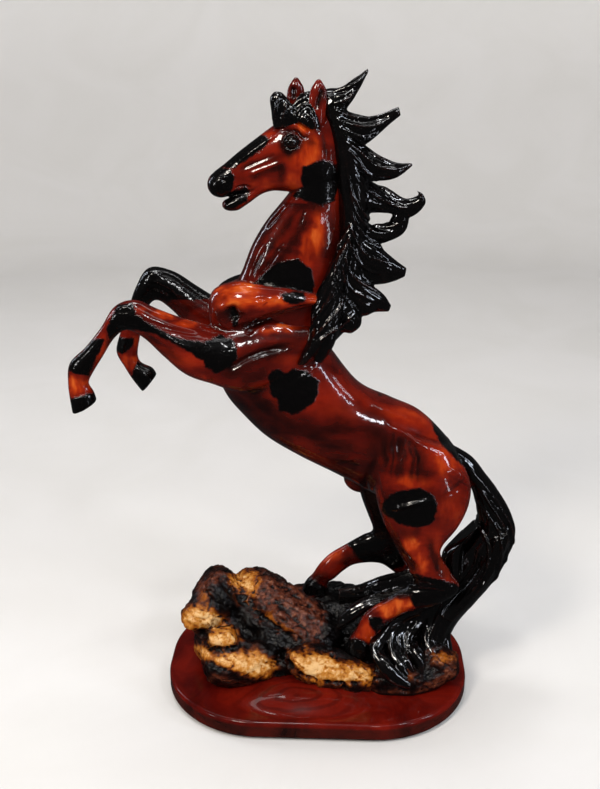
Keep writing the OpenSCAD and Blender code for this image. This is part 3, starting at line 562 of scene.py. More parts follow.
# the black at the foot of the neck, in the front view
breastBlack = [(-29.2, 68.7), (-21, 76.5), (-13.7, 82.4), (-0.9, 84.2), (7.3, 77.8), (8.7, 68.7), (7.8, 62.3),
               (1.8, 64), (-6.4, 65.2), (-17.3, 66.4)]
body = {
    "voxel": 1.05, "passes": 4,
    "grids": {"torso": (72, 90), "breast": (40, 40), "leg": (48, 110)},  # points round and along
    "farLegs": (6, -64, 150, 75),  # y beyond, x before for the fore, z below and x before for the hind
    "farBreastTop": (4, -38, 262, 5),  # y beyond, x before, z above: 5 mm inside the black
    # where streaks run down: thighs, lower hind legs and raised forelegs
    "limbs": {"thighX": (25, 42), "thighZ": (208, 184), "hindZ": (135, 125), "foreX": (-100, -115)},
    # painted shade and glaze: rounds of evening and depth in mm of the shaded hollows, slopes underneath that
    # are shaded and their amount
    "hollowRounds": 25, "hollowShadeDepth": (0.08, 0.7), "shadeUnderneath": (0.3, 0.85, 0.7), "glowAmount": 1.0,
    "glazeHand": (1.8, 9, 9), "glowHand": (4, 6, 11),  # how far the brush strays and in what sizes, in mm
    "torso": [
        [-61, 266, -66, 243, 0, barrel * 0.35], [-55, 276, -65, 227, 0, barrel * 0.70],
        [-38, 279, -58, 208, 0, barrel * 0.90, 2.1], [-16, 264, -48, 195, 0, barrel * 0.98, 2.2],
        [3, 241, -33, 180, 0, barrel, 2.2], [24, 214, -13, 168, 0, barrel * 1.02, 2.2],
        [45, 203.5, 8, 157, 0, barrel, 2.2], [63, 195.5, 27, 146, 0, barrel * 0.97, 2.1],
        [79, 180, 45, 136, 0, barrel * 0.92, 2.1], [90, 165, 62, 131, 0, barrel * 0.78],
        [96, 148, 80, 131, 0, barrel * 0.48], [96, 141, 91, 135, 0, barrel * 0.2]],
    "breast": [
        [-66, 266, -65, 257, -12, 4], [-62, 277, -61, 251, -15, 10.5], [-48, 283, -47, 254, -18, 12.5],
        [-32, 282, -31, 261, -19, 11], [-15, 279.5, -14, 266, -18.5, 8], [0, 275, 1, 270, -17, 4]],
    "rightBreastDrop": 5,
    "leftFore": [
        [-6, 256, 4, 242, -16, 5], [-34, 258, -14, 227, -20, 9], [-57, 256, -42, 217, -24, 12],
        [-71, 260, -64, 223, -26, 12.5], [-82, 264, -78, 229, -28, 11.5], [-94, 269, -90, 240, -29, 9.5],
        [-106, 274, -101, 251, -29, 8], [-118, 270, -111, 256.5, -29, 7.5, 2.3],
        [-127, 257, -119.5, 250.5, -29, cannon * 1.15, 2.2], [-137, 245, -127, 239, -29, cannon],
        [-147, 235, -133.5, 229, -29, cannon * 1.2], [-149, 222, -136.5, 222.5, -29, cannon],
        [-148.5, 213.5, -134, 217, -29, cannon * 1.35], [-147.5, 203, -132.5, 211, -29, cannon * 1.6]],
    "rightFore": [
        [-6, 256, 4, 242, 16, 5], [-34, 258, -14, 227, 19, 9], [-54, 256, -46, 217, 22, 12],
        [-67, 262, -67, 229, 23, 12], [-78, 269, -81, 240, 23, 11], [-92, 278, -92, 252, 23, 9],
        [-107, 280, -101, 259.5, 23, 8, 2.3], [-116, 267, -107, 257, 23, cannon * 1.25, 2.2],
        [-122, 251, -111.5, 247, 23, cannon], [-128, 236, -115, 234, 23, cannon],
        [-130.5, 225, -117, 223, 23, cannon * 1.2], [-126, 215, -115, 217.5, 23, cannon],
        [-121.5, 207, -108, 214, 23, cannon * 1.3], [-115, 198, -105.5, 209.5, 23, cannon * 1.5]],
    "leftHind": [
        [50, 192, 84, 176, -12, 12], [37, 176, 94, 158, -17, 14], [35, 157, 94, 143, -20, 15],
        [38, 139, 88, 128, -21.5, 14], [45, 122, 79, 115, -22.5, 11], [52, 108, 78, 106, -23, 8.5],
        [58, 97, 85, 95, -23, 7.5, 2.2], [61, 88, 91, 83, -23, 7, 2.2], [58, 85, 76, 71, -23, 6.5, 2.2],
        [50, 79, 59, 66, -23, cannon * 1.1], [41, 72, 47, 58, -23, cannon],
        [31, 63, 41, 50, -23, cannon * 1.25], [26, 52, 36, 44, -23, cannon * 1.05],
        [21, 43, 36.5, 37, -23, cannon * 1.4], [14, 29, 35, 28, -23, cannon * 1.7]],
    "rightHind": [
        [46, 186, 84, 172, 12, 12], [32, 168, 86, 153, 16, 14], [25, 148, 82, 137, 20, 14],
        [27, 129, 72, 121, 23, 11.5], [32, 113, 65, 104, 25, 9], [36, 102, 66, 87, 26, 8, 2.2],
        [36, 97, 59, 64, 26, 7.5, 2.2], [30, 94, 43, 73, 26, 6.5, 2.2], [17, 85.5, 26, 72, 26, cannon * 1.1],
        [7, 78.5, 17, 66, 26, cannon], [0, 70, 11.5, 60.5, 26, cannon * 1.2],
        [-4.5, 62.5, 7, 57, 26, cannon * 1.05], [-9, 57, 6, 54, 26, cannon * 1.35],
        [-13, 48, 5, 47, 26, cannon * 1.65]],
    "sheath": ((24, 0, 147), (9, 7, 6), 34),
    # strokes, patches and paint are placed in the front view, in mm from the middle of the picture
    "strokes": [
        # under the breast roll
        ([(-37.4, 45.9), (-31.9, 42.4), (-24.6, 45.9), (-17.3, 48.5), (-4.5, 52.3), (10, 56.7)], 1.3, -1.9),
        ([(-47.4, 64.1), (-41, 68.7), (-31, 67.1), (-17.3, 65.5), (-4.5, 64.3), (3.7, 63.1)], 1.8, 1.0),
        ([(-46.1, 55.9), (-42.4, 49.6), (-39.2, 43.2)], 4.4, -4.6),  # hollow in the breast
        ([(-51.5, 52.3), (-48.8, 44.5), (-41, 40)], 1.6, 1.1),
        ([(-28.3, 58.5), (-20.1, 60)], 0.8, -0.7), ([(-26.9, 52.1), (-22.8, 55.5), (-18.4, 58.9)], 0.8, -0.8),
        ([(-17.3, 56.8), (-13.7, 61.4)], 0.8, -0.6), ([(-36.5, 51.4), (-33.3, 44.5)], 0.9, -0.8),
        ([(-28.3, 40.2), (-17.3, 43), (-2.7, 40.2)], 2.2, 1.5),  # second roll
        ([(-48.8, 8.5), (-43.8, 14.9), (-38.3, 19.3), (-31.9, 22.9), (-22.8, 26.6), (-13.7, 28.6),
          (-2.7, 30.9)], 1.7, -2.6),
        ([(-32.4, 36.8), (-29.2, 41.3)], 1.2, -0.9),
        ([(-9.1, 1.7), (0.9, 10.3), (13.7, 20.4)], 0.8, 0.8),  # veins
        ([(18.3, 15.8), (26.5, 4.9), (36.5, -5.2)], 0.8, 0.5),
        # hip
        ([(50.5, -12.6), (55.8, -19.5), (61.1, -22.3), (66.4, -25), (75, -31.5), (85, -37.5), (89, -41.6)],
         1.1, 0.9),
        # fold before the thigh
        ([(49.2, -29.5), (46.5, -41.4), (41.9, -52), (40.5, -60), (43.2, -73.3)], 2.2, -1.7),
        ([(51.8, -37.5), (50.5, -48.1), (53.8, -64)], 1.5, 1.1),
        ([(18.7, -39.4), (29.3, -40.3), (36.6, -39.2), (43.2, -42.8)], 1.0, 0.9),
        ([(22.6, -41.8), (31.9, -43.1), (40.5, -46.1)], 1.2, -0.9),
        # rib of muscle on the thigh
        ([(54.5, -72.5), (65.1, -69.4), (73.7, -67.4), (83.7, -64.4)], 1.2, 2.0),
        ([(55.8, -75.3), (69.1, -71.9), (83.7, -67.6)], 1.6, -0.9),
        ([(89.6, -45.5), (98.3, -48.2), (100.9, -55.5)], 1.6, 0.9),
        ([(85, -66.6), (93.6, -62.7), (101.6, -60.7)], 1.4, 0.7),
        ([(61.1, -28.2), (61.8, -40.1), (61.1, -50.7)], 1.2, -0.6),
        ([(55.8, -28.2), (56.1, -37.5), (55.8, -49.4)], 1.2, 0.5),
        ([(62.4, -88.7), (71.7, -102.3), (78.8, -109.4)], 2.0, 1.0),  # shin and the tendon behind it
        ([(55.3, -86.6), (66.7, -101.6), (75.2, -111.6)], 1.6, -0.7),
        ([(73.8, -82.3), (76.7, -101.6), (82.4, -110.2)], 1.6, -0.4),
        ([(84.5, -92.3), (86, -99.5), (90.9, -108), (95.2, -113.7)], 1.4, 0.9),
        ([(80.2, -88.7), (83.8, -105.2), (91.7, -115.2)], 1.5, -0.5),
        ([(62.4, -116.6), (68.1, -118), (73.8, -120.2)], 1.0, 1.2),
        ([(71, -111.6), (78.1, -115.2), (86, -118)], 1.0, 1.0),
        ([(65.3, -122.4), (76.7, -121.7), (95.2, -123.9)], 1.2, -1.1),
        ([(46.7, -131), (61, -124.6), (73.8, -125.3)], 1.2, -0.6),
        ([(35.3, -150.3), (43.8, -156.7)], 0.8, -0.9),
        # forearm
        ([(-99.5, 47.8), (-86.2, 42), (-61.4, 37)], 1.3, -0.9),
        ([(-91.2, 40.3), (-77.9, 32.9), (-63, 26.2)], 1.6, 0.9),
        ([(-102.8, 40.3), (-86.2, 30.4), (-66.3, 20.4)], 1.4, -0.8),
        ([(-113.6, 53.6), (-104.5, 54.4)], 1.4, 0.9),
        ([(-116.1, 40.3), (-107.8, 41.8)], 1.2, -0.8), ([(-124.4, 23.7), (-130.2, 12.1)], 1.2, -0.6),
        ([(-144.3, -2.1), (-132.7, 0.9), (-125.6, 2.3)], 0.8, -0.9),
        ([(-59.7, 12.1), (-53.9, 10.1)], 4.0, 1.0)],
    "farStrokes": [
        ([(-96.2, 67.7), (-86.2, 65.2), (-77.9, 60.2)], 1.6, -0.9), ([(-96.2, 74.3), (-84.6, 76)], 2.0, 0.7),
        ([(-101.6, 21.2), (-88.7, 15.4)], 0.8, -0.9), ([(25.3, -95.9), (36, -92.3)], 2.0, 0.6),
        ([(9.6, -116.6), (15.3, -120.9)], 0.8, -0.8)],
    "patches": [
        breastBlack,
        # painted shade: the hollow in the breast is painted black
        [(-44.5, 54.6), (-41, 53.9), (-38.5, 48.6), (-37.8, 42.7), (-41, 42.3), (-44, 47.3)],
        [(-12.8, 62.1), (-4.5, 64), (2.7, 64), (2.9, 57.8), (-4.5, 55.8), (-10, 57.3)],
        # elbow
        [(-58.9, 32.9), (-49.7, 37), (-40.6, 33.7), (-38.6, 23.7), (-43.1, 16.3), (-51.4, 13.4),
         (-58.9, 16.7), (-61.4, 23.7)],
        [(-112.8, 55.2), (-104.5, 51.9), (-96.2, 45.3), (-86.2, 39.5), (-74.6, 34.9), (-58.9, 32),
         (-57.2, 23.7), (-61.4, 20.4), (-70.5, 27.5), (-80.4, 32.9), (-91.2, 37.8), (-99.5, 39.5),
         (-107.8, 40.3), (-114.4, 43.6)],
        [(-120.2, 42), (-113.6, 55.7), (-104.5, 57.3), (-102, 51.1), (-107, 42.8), (-111.9, 36.2),
         (-118.6, 33.7)],
        [(-129.3, 33.7), (-121.1, 35.3), (-125.2, 25.4), (-129.8, 14.6), (-131, 11.7), (-140.1, 13),
         (-144.3, 16.3), (-141.8, 21.2), (-136, 26.2)],
        [(-145.9, -3.2), (-139.3, -1.8), (-132.7, 0.5), (-126.4, 2.2), (-121.9, -3.6), (-132.7, -11.9),
         (-142.6, -16.1)],
        [(-20.1, 11.2), (-17.3, 15.8), (-10, 13.8), (-4.5, 15.8), (2.7, 14.9), (7.3, 12), (12.1, 8.5),
         (11, 0.3), (8.4, -5.4), (2.7, -9.7), (-4.5, -12.7), (-12.8, -9.9), (-13.7, -4.3), (-18.2, 0.3),
         (-19.1, 6.7)],
        [(82, -16.2), (87, -18.2), (94.9, -24.2), (103.6, -33.5), (107.5, -42.8), (100.2, -43.8),
         (92.3, -35.8), (87, -29.8), (83, -22.5)],
        [(51.2, -67.4), (55.8, -62.7), (64.4, -59.1), (75, -58.7), (82.3, -62), (85.8, -68), (84.3, -73.3),
         (83.8, -77.9), (78.4, -82), (69.1, -82.7), (61.1, -80), (54.5, -76.1), (51.2, -72.1)],
        [(40.1, 7.6), (48.4, 4.9), (55.7, 0.3), (50.2, -1.5), (43.8, 1.7)],
        # hock
        [(61.7, -115.2), (69.5, -111), (83.8, -114.6), (98.1, -118), (102.4, -123.7), (83.8, -127.3),
         (72.4, -124.8), (62.4, -123.7), (55.3, -126.6), (53.8, -120.2)],
        [(68.8, -125.1), (71.7, -121.6), (83.8, -119.4), (98.1, -120.9), (103.8, -128), (83.8, -133.7),
         (75.2, -136.6), (70.2, -130.9)],
        [(52.4, -142.6), (62.4, -138), (73.8, -133.7), (75.2, -137.3), (62.4, -143.7), (54.5, -146.6)],
        [(42.8, -138.7), (49.6, -138.4), (52.8, -144.4), (47.4, -148.7), (44.2, -144.4)],
        [(25.3, -153), (35.3, -151.6), (44.6, -156.6), (45.3, -165.1), (33.8, -168), (23.9, -163.7)]],
    "farPatches": [
        [(24.9, -50.7), (46, -50.7), (57.2, -78), (59.7, -104.2), (41, -104.2), (32.3, -78)],
        [(-106.1, 56.1), (-100.3, 72.7), (-92.9, 79.3), (-85.4, 78.9), (-83.7, 72.7), (-81.7, 66),
         (-80, 59.4), (-82.9, 56.5), (-86.2, 58.1), (-92, 55.2), (-99.5, 54.4)],
        [(-114.8, 35.3), (-102.8, 35.3), (-104.1, 29.5), (-110.3, 25), (-115.2, 27)],
        [(-100.7, 20.4), (-87.1, 15.4), (-89.5, 4.7), (-97.4, -1.1), (-105.3, 9.6)],
        [(28.9, -92.3), (42.4, -82.3), (62.4, -82.3), (65.3, -106.6), (52.4, -112.3), (42.4, -105.9),
         (36, -101.6)],
        [(2.4, -111.6), (11, -116.6), (16.7, -120.2), (16.7, -126.6), (1, -125.1)]],
    # orange spots of painted highlight where light falls and the paint is thin, also on the far legs
    "glow": [
        ((-39.2, 61.9), (16.4, 8.2), 1.0), ((-13.7, 56.8), (15.5, 4.6), 0.7), ((9.1, 58.7), (7.3, 4.1), 0.8),
        ((-11.8, 40.2), (13.7, 3.3), 0.8), ((-4.5, 19.5), (10.9, 3.6), 0.25),
        ((-138.5, 5.9), (7.5, 6.6), 1.0), ((-97.8, 54.4), (7.5, 2.5), 0.5), ((-83.7, 50.3), (9.9, 2.8), 0.9),
        ((-69.6, 44.5), (9.9, 2.5), 0.8),
        ((-74.6, 22.1), (14.9, 5.8), 0.35), ((-121.9, 27), (4.1, 9.1), 0.6), ((-58.9, 9.2), (7.5, 2.5), 0.4),
        ((69.1, -12.9), (19.9, 6), 0.55), ((85, -28.2), (9.9, 8), 0.4), ((92.9, -40.8), (9.9, 8.6), 0.7),
        ((70.4, -54.4), (13.3, 4), 0.6), ((47.8, -65.3), (2.7, 8), 0.4), ((92.9, -71.9), (8.6, 9.9), 0.4),
        ((27.9, -8.3), (17.2, 8.6), 0.25),
        ((67.4, -94.5), (5.7, 7.9), 0.9), ((75.2, -106.6), (4.3, 6.4), 0.8),
        ((82.4, -95.9), (6.4, 12.1), 0.4), ((89.5, -108.7), (4.3, 6.4), 0.5),
        ((58.1, -133.7), (10.7, 4.3), 1.0), ((65.3, -129.4), (6.4, 2.9), 0.8),
        ((41.7, -148), (5.7, 6.4), 0.7)],
    "farGlow": [((-74.6, 67.7), (10.8, 4.1), 0.6), ((-69.6, 59.4), (5.8, 5), 0.3),
                ((-107.8, 21.2), (6.6, 5), 0.7), ((-101.2, 33.7), (4.1, 4.1), 0.5),
                ((18.9, -100.2), (10, 5), 0.8), ((11, -108), (4.3, 5.7), 0.5)],
    # dark glaze lines, and painted shade along the belly and in the creases of breast, elbow, thigh and hock,
    # also on the far legs
    "glazeAndShade": [
        ([(-52.9, 11.2), (-38.3, -8.8), (-25.5, -25.2), (-17.3, -34.4), (0.9, -46.2)], 6.5, 1.0),  # belly
        ([(-39.8, 15.2), (-21.1, -5.9), (7.5, -27), (32.3, -40.7), (47.3, -48.2)], 6.0, 0.6),
        ([(-41, 11.2), (-30.1, 1.2), (-13.7, -14.3), (0.9, -25.2)], 2.2, 0.7),
        ([(-21, -14.3), (-4.5, -31.6)], 3.0, 0.5),
        ([(-52, 5.8), (-42.9, 14), (-35.6, 19.9), (-22.8, 25.4), (-2.7, 30.4)], 2.6, 1.1),
        ([(-38.3, 46.4), (-31.9, 42.3), (-17.3, 48.2), (-4.5, 52.1), (10, 55.9)], 1.0, 0.7),
        ([(-45.6, 55), (-42.4, 49.6), (-39.7, 44.5)], 3.4, 1.0),
        ([(-30.1, 37.7), (-33.7, 30.4), (-31.9, 23.1)], 3.5, 0.5),
        ([(-17.3, 33.1), (-4.5, 34), (6.4, 41.3)], 4.0, 0.6),
        ([(-38.3, 8.5), (-26.4, 11.2), (-17.3, 17.6)], 3.5, 0.5),
        ([(41.1, -7), (52.9, -25.2)], 5.0, 0.5), ([(11.9, 55.9), (10, 45), (0.9, 34)], 4.0, 0.6),
        ([(48.5, -16.9), (47.8, -30.2), (45.2, -43.4), (41.9, -56.7), (44.5, -73.3)], 4.5, 0.9),
        ([(-1.2, -20.9), (14.7, -29.5), (29.3, -33.5), (45.2, -37.5)], 4.0, 0.4),
        ([(14.7, -44.1), (28.6, -46.1), (38.6, -50.7)], 4.0, 0.8),
        ([(37.9, -55.7), (40.4, -70.6), (45.4, -86.7), (54.7, -104.2), (62.2, -117.8)], 4.5, 1.2),
        ([(53.8, -22.2), (53.1, -34.8), (53.1, -46.7)], 2.0, 0.9), ([(61.1, -21.5), (61.1, -54.7)], 1.2, 1.3),
        ([(65.4, -22.2), (64.4, -54.7)], 1.0, 1.1),
        ([(57.5, -20.2), (57.5, -54.7)], 0.8, 1.1), ([(68.4, -24.2), (70.1, -57.4)], 0.9, 1.0),
        ([(71.7, -26.8), (73.7, -57.4)], 0.8, 1.0), ([(63.1, -21.5), (63, -50.7)], 0.6, 0.9),
        ([(71.7, -25.5), (75, -42.8), (78.4, -60)], 3.0, 0.6), ([(94.9, -55.4), (96.9, -58)], 4.5, 0.6),
        ([(50.5, -79.9), (59.8, -86.5), (78.4, -83.9)], 2.5, 0.6),
        ([(52.4, -83.8), (66.7, -102.3), (76.7, -113)], 1.6, 1.1),
        ([(58.1, -118), (73.8, -119.4), (90.9, -120.9)], 3.5, 0.8),
        ([(86.7, -99.5), (92.4, -108.7), (99.5, -118)], 3.0, 0.6),
        ([(49.6, -82.3), (55.3, -95.2), (62.4, -104.4)], 3.0, 0.9),
        ([(79.5, -85.2), (83.8, -105.2), (92.4, -116.6)], 1.5, 1.0),
        ([(48.1, -129.4), (61, -124.3), (73.8, -125.7)], 2.0, 0.9),
        ([(52.4, -143.7), (65.3, -138), (75.2, -132.3)], 2.0, 0.8),
        ([(-97.8, 53.6), (-91.2, 50.3)], 1.5, 0.5),
        ([(-102.8, 37.8), (-86.2, 28.7), (-70.5, 17.9)], 1.6, 0.7),
        ([(-114.4, 32), (-121.9, 35.3)], 4.0, 0.7)],
    "farGlaze": [([(-91.2, 70.2), (-74.6, 59.4), (-66.3, 46.9)], 8.0, 0.7),
                 ([(23.1, -108.7), (37.4, -101.6), (46.7, -102.3)], 3.5, 0.9),
                 ([(8.2, -118), (16.7, -109.4)], 3.0, 0.5)],
}


def bodyView(co, no):  # places in the front view, how far points face it, and which are the far lower legs
    x, y, z = co.T
    beyond, foreX, hindZ, hindX = body["farLegs"]
    farLeg = (y > beyond) & ((x < foreX) | ((z < hindZ) & (x < hindX)))
    flip = (y > 0) & ~farLeg
    return frontView(turnedOver(co, flip)), towards(turnedOver(no, flip)), farLeg


def buildBody():
    bm = bmesh.new()
    grids = body["grids"]
    loftShell(bm, body["torso"], *grids["torso"])
    loftShell(bm, body["breast"], *grids["breast"])
    loftShell(bm, body["breast"], *grids["breast"], shift=(0, 0, -body["rightBreastDrop"]), flip=-1)
    for leg in ("leftFore", "rightFore", "leftHind", "rightHind"):
        loftShell(bm, body[leg], *grids["leg"])
    swellShell(bm, *body["sheath"])
    piece = castSkin(bm, body["voxel"], body["passes"], "horse_body")
    mesh = piece.data
    at, facing, farLeg = bodyView(pointsOf(mesh), normalsOf(mesh))
    carve(mesh, body["strokes"], at, facing * ~farLeg)
    carve(mesh, body["farStrokes"], at, facing * farLeg)
    co = pointsOf(mesh)
    x, y, z = co.T
    beyond, before, above, depth = body["farBreastTop"]
    black = np.where(farLeg, insideAny(at, body["farPatches"]), insideAny(at, body["patches"]))
    paintBlack(mesh, np.where((y > beyond) & (x < before) & (z > above), depth, black))
    glazeShadeAndHighlight(mesh, co, at, body, farLeg, "far")
    limbs = body["limbs"]
    thigh = ease(*limbs["thighX"], x) * ease(*limbs["thighZ"], z)
    paint(mesh, "limb", np.max([thigh, ease(*limbs["hindZ"], z), ease(*limbs["foreX"], x)], 0))
    dress(piece, mahogany, "mahogany_resin",
          "torso", "left_foreleg", "right_foreleg", "left_hind_leg", "right_hind_leg")


buildBody()


# neck and head

head = {
    "voxel": 0.58, "passes": 5,
    # points round and along
    "grids": {"neck": (64, 80), "skull": (56, 80), "jaw": (40, 50), "ear": (32, 40)},
    "throat": (322, 332, 0.55, 8),  # heights where the neck becomes the head, rising by 0.55 behind x -8
    "earFoot": 384,
    "lid": {"height": 0.5, "radius": 4.6, "width": 0.8, "upper": 1.3, "lower": 0.6, "reach": 9},
    # round the eye the glaze is painted shade in the socket
    "eyeBlack": 4.3, "eyeSocketShade": (8.5, 4.2, 1.1),  # mm from the middle of the eye, and amount
    # painted shade in the shaded hollows and on slopes underneath, and the painted highlight's strength
    "hollowRounds": 30, "hollowShadeDepth": (0.06, 0.5), "shadeUnderneath": (0.3, 0.9, 0.45), "glowAmount": 0.8,
    "glazeHand": (1.2, 7, 7), "glowHand": (2.5, 5, 9),
    "neck": [
        [-52, 258, 4, 230, 0, neckHalf], [-52, 272, 8, 250, 0, neckHalf],
        [-46, 286, 13, 275, 0, neckHalf * 0.9], [-40, 301, 15, 300, 0, neckHalf * 0.77],
        [-31.5, 315, 14, 325, 0, neckHalf * 0.68], [-20, 329, 12, 349, 0, neckHalf * 0.63],
        [-8, 345, 8, 370, 0, neckHalf * 0.53], [0, 360, 4, 380, 0, neckHalf * 0.36]],
    "skull": [
        [6, 382, 14, 352, 0, headHalf * 0.55], [-6, 382, 10, 335, 0, headHalf * 0.86, 2.2],
        [-16, 376, -3, 329, 0, headHalf, 2.3], [-26, 370, -17, 332, 0, headHalf * 0.96, 2.3],
        [-36, 363, -29, 333, 0, headHalf * 0.78, 2.3], [-47, 355, -41, 332, 0, headHalf * 0.64, 2.2],
        [-55, 348.5, -50, 331, 0, headHalf * 0.64, 2.2], [-61, 344, -58, 329.5, 0, headHalf * 0.62, 2.2],
        [-64.5, 340, -63, 332, 0, headHalf * 0.4]],
    "jaw": [
        [-18, 346, -16, 334, 0, headHalf * 0.64], [-32, 342, -32, 332, 0, headHalf * 0.56],
        [-42, 334, -42.5, 325.5, 0, headHalf * 0.5], [-49, 332, -49, 321.8, 0, headHalf * 0.5],
        [-55.5, 327, -56, 323, 0, headHalf * 0.36]],
    "ear": [
        [-4, 369, 3, 371, 0, 3], [-6, 380, 4, 381, 0, 3.4], [-5.5, 388, 4, 388.5, 0, 2.8],
        [-3.2, 392.5, 2, 392.5, 0, 1.6], [-1.4, 395, 0.6, 394.8, 0, 0.6]],
    "ears": [(-2, -8, 0), (-13, 7, 0)],
    "swells": [((-2, 0, 345), (15, 12.4, 17), 0), ((-58, 0, 337), (7.2, 7.8, 7.4), 0),
               ((-52, 0, 325.3), (5.2, 6, 3.6), 0)],
    "eye": (-17.8, 11, 361.3),
    "strokes": [
        ([(-11.4, 165.5), (-5.1, 167.2), (-1.3, 166.5), (3.8, 162.6), (7.3, 163.7)], 1.5, 1.5),  # brow
        ([(-12.7, 163.6), (-6.3, 164.2), (-1.3, 163.6), (2, 159.9), (7, 161.2)], 0.9, -1.2),
        ([(-10.2, 152.8), (-5.7, 151.3), (-0.3, 154.1)], 0.8, 0.6),
        ([(-7.6, 145.8), (-17.8, 142.1), (-29.2, 137.7), (-36.8, 134.5)], 1.4, 0.9),  # cheek bone
        ([(-7.6, 141.5), (-21.6, 138), (-33, 132.6)], 1.5, -0.6),
        ([(-11.4, 151), (-26.7, 144.7), (-40.6, 138.3)], 1.4, -0.8),
        ([(-11.4, 163.6), (-21.6, 157.2), (-33.6, 148.4), (-41.2, 142.8)], 1.1, 0.7),  # side of the nose
        ([(-11.4, 144.7), (-11.4, 137.7), (-12.1, 130.1)], 1.8, -0.6),
        ([(13, 168.8), (15.9, 157.4), (16.6, 145.9), (14, 135.8)], 1.6, -0.45),
        ([(-41.2, 128.1), (-34.3, 129.6), (-29.7, 127.8)], 0.8, -1.1),  # mouth and nostril
        ([(-48.7, 132.9), (-46.4, 133.6)], 1.0, -1.0), ([(-49.5, 134.5), (-45.6, 135.2)], 0.8, 0.6),
        ([(9.5, 175.1), (11.7, 182.8), (13.3, 188.5), (13, 193.5)], 1.3, -1.5),
        ([(-2.9, 180.8), (-3.8, 186.6), (-4.1, 192.9)], 1.4, -1.6),
        ([(8.9, 175.1), (11.4, 166.3), (12.7, 161.2)], 1.2, -0.8)],
    "neckStrokes": [
        ([(17.1, 166.3), (22.2, 151), (26.1, 132), (24.9, 113)], 2.2, -0.4),
        # gullet
        ([(-5.5, 96.1), (-17.3, 79.7), (-27.4, 69.6)], 1.1, 0.9),
        ([(-9.1, 97), (-21, 79.7), (-30.1, 69.8)], 1.4, -1.3),
        ([(-21, 94.2), (-29.2, 76), (-31.9, 69.4)], 1.1, -0.9),
        ([(-7.6, 119.3), (-15.2, 110.4), (-22.8, 101.5)], 1.4, -0.9),
        ([(3.8, 117.4), (-1.3, 102.8)], 1.4, -0.8), ([(12.7, 117.4), (8.9, 102.8)], 4.0, 0.7)],
    "patches": [
        [(1.3, 141.5), (5.1, 142.5), (10.8, 144.7), (14, 146.7), (22.2, 142.8), (24.9, 134.5), (21.7, 120.6),
         (14, 117.7), (1.3, 120.9), (-5.7, 123.4), (1.6, 129.5), (0.6, 134.5)],
        # nose
        [(-49.5, 140.9), (-38.7, 152.3), (-27.9, 159.9), (-21.6, 162.1), (-19, 158), (-24.1, 151.7),
         (-33.6, 145.3), (-40.6, 140.9)],
        # muzzle
        [(-57.7, 132), (-53.9, 139.6), (-50.1, 142.5), (-43.1, 139.3), (-40.9, 135.8), (-41.1, 131.4),
         (-42.4, 126.9), (-44.4, 121.8), (-54.6, 119.9)],
        [(-43.8, 126.3), (-34.3, 129.1), (-31.4, 126.9), (-32.9, 119.9), (-37.8, 117.4), (-41.9, 114.7),
         (-48.2, 113), (-46.3, 121.8)],
        breastBlack],
    # orange spots of painted highlight where light falls and the paint is thin, on the head and the neck
    "glow": [((3.2, 151), (10.8, 13.3), 0.9), ((1.3, 167.2), (7, 4.4), 1.0),
             ((-21.6, 130.7), (9.5, 3.8), 0.6), ((-3.8, 131.4), (7.6, 5.7), 0.7),
             ((-20.3, 160.5), (9.5, 2.5), 0.7), ((-17.8, 152.9), (5.7, 3.2), 0.3)],
    "neckGlow": [((11.8, 101), (5, 16.2), 0.9), ((3.7, 88.6), (3.7, 12.4), 0.7),
                 ((22.4, 120.9), (3.1, 16.2), 0.3), ((-13.7, 101), (3.1, 8.7), 0.4)],
    # dark glaze lines, and painted shade in the grooves, round the eye and mouth and along the mane, on the
    # head and the neck
    "glazeAndShade": [([(-40.6, 138.3), (-26.7, 143.7), (-16.5, 146.7), (-8.2, 148.6)], 1.5, 0.7),
              ([(-34.3, 132), (-21.6, 137.7), (-8.9, 140.6)], 1.3, 0.45),
              ([(-11.4, 145.9), (-11.4, 137.7), (-12.1, 128.8)], 1.6, 0.6),
              ([(-17.8, 165), (-6.3, 166.3)], 2.0, 0.5), ([(13.3, 163.7), (16.5, 145.9)], 1.0, 0.8),
              ([(-2.9, 179.6), (-3.5, 186.6), (-3.8, 194.2)], 1.6, 1.0),
              ([(9.5, 175.1), (11.7, 182.8), (13.3, 189.1), (13, 193.5)], 2.0, 0.9),
              ([(-14, 160.5), (-8.9, 157.4), (-8.2, 151), (-2.5, 147.2)], 2.5, 0.8),
              ([(-17.8, 144.7), (-12.7, 140.9), (-7.6, 138.3)], 2.0, 0.6),
              ([(1.9, 162.4), (6.3, 157.4), (10.8, 158)], 1.6, 0.6)],
    "neckGlaze": [
        ([(-12.4, 125.9), (0, 120.9), (9.9, 117.8), (22.4, 117.2)], 3.0, 1.0),
        ([(-5, 124.7), (-17.4, 107.9), (-27.4, 94.8), (-35.4, 79.9), (-39.8, 66.2)], 3.0, 0.9),
        ([(3.7, 120.9), (-10.6, 102.3), (-21.1, 88.6), (-33.6, 68.7)], 1.6, 0.9),
        ([(9.9, 118.5), (-2.5, 98.6), (-11.8, 84.9), (-24.9, 67.5)], 1.8, 0.8),
        ([(21.1, 117.2), (18, 96.1), (12.4, 78.7)], 2.0, 0.5),
        ([(23.6, 170.7), (29.2, 152), (32.3, 127.2), (28.6, 102.3), (21.1, 77.4), (13.7, 58.8)], 4.5, 1.0)],
}


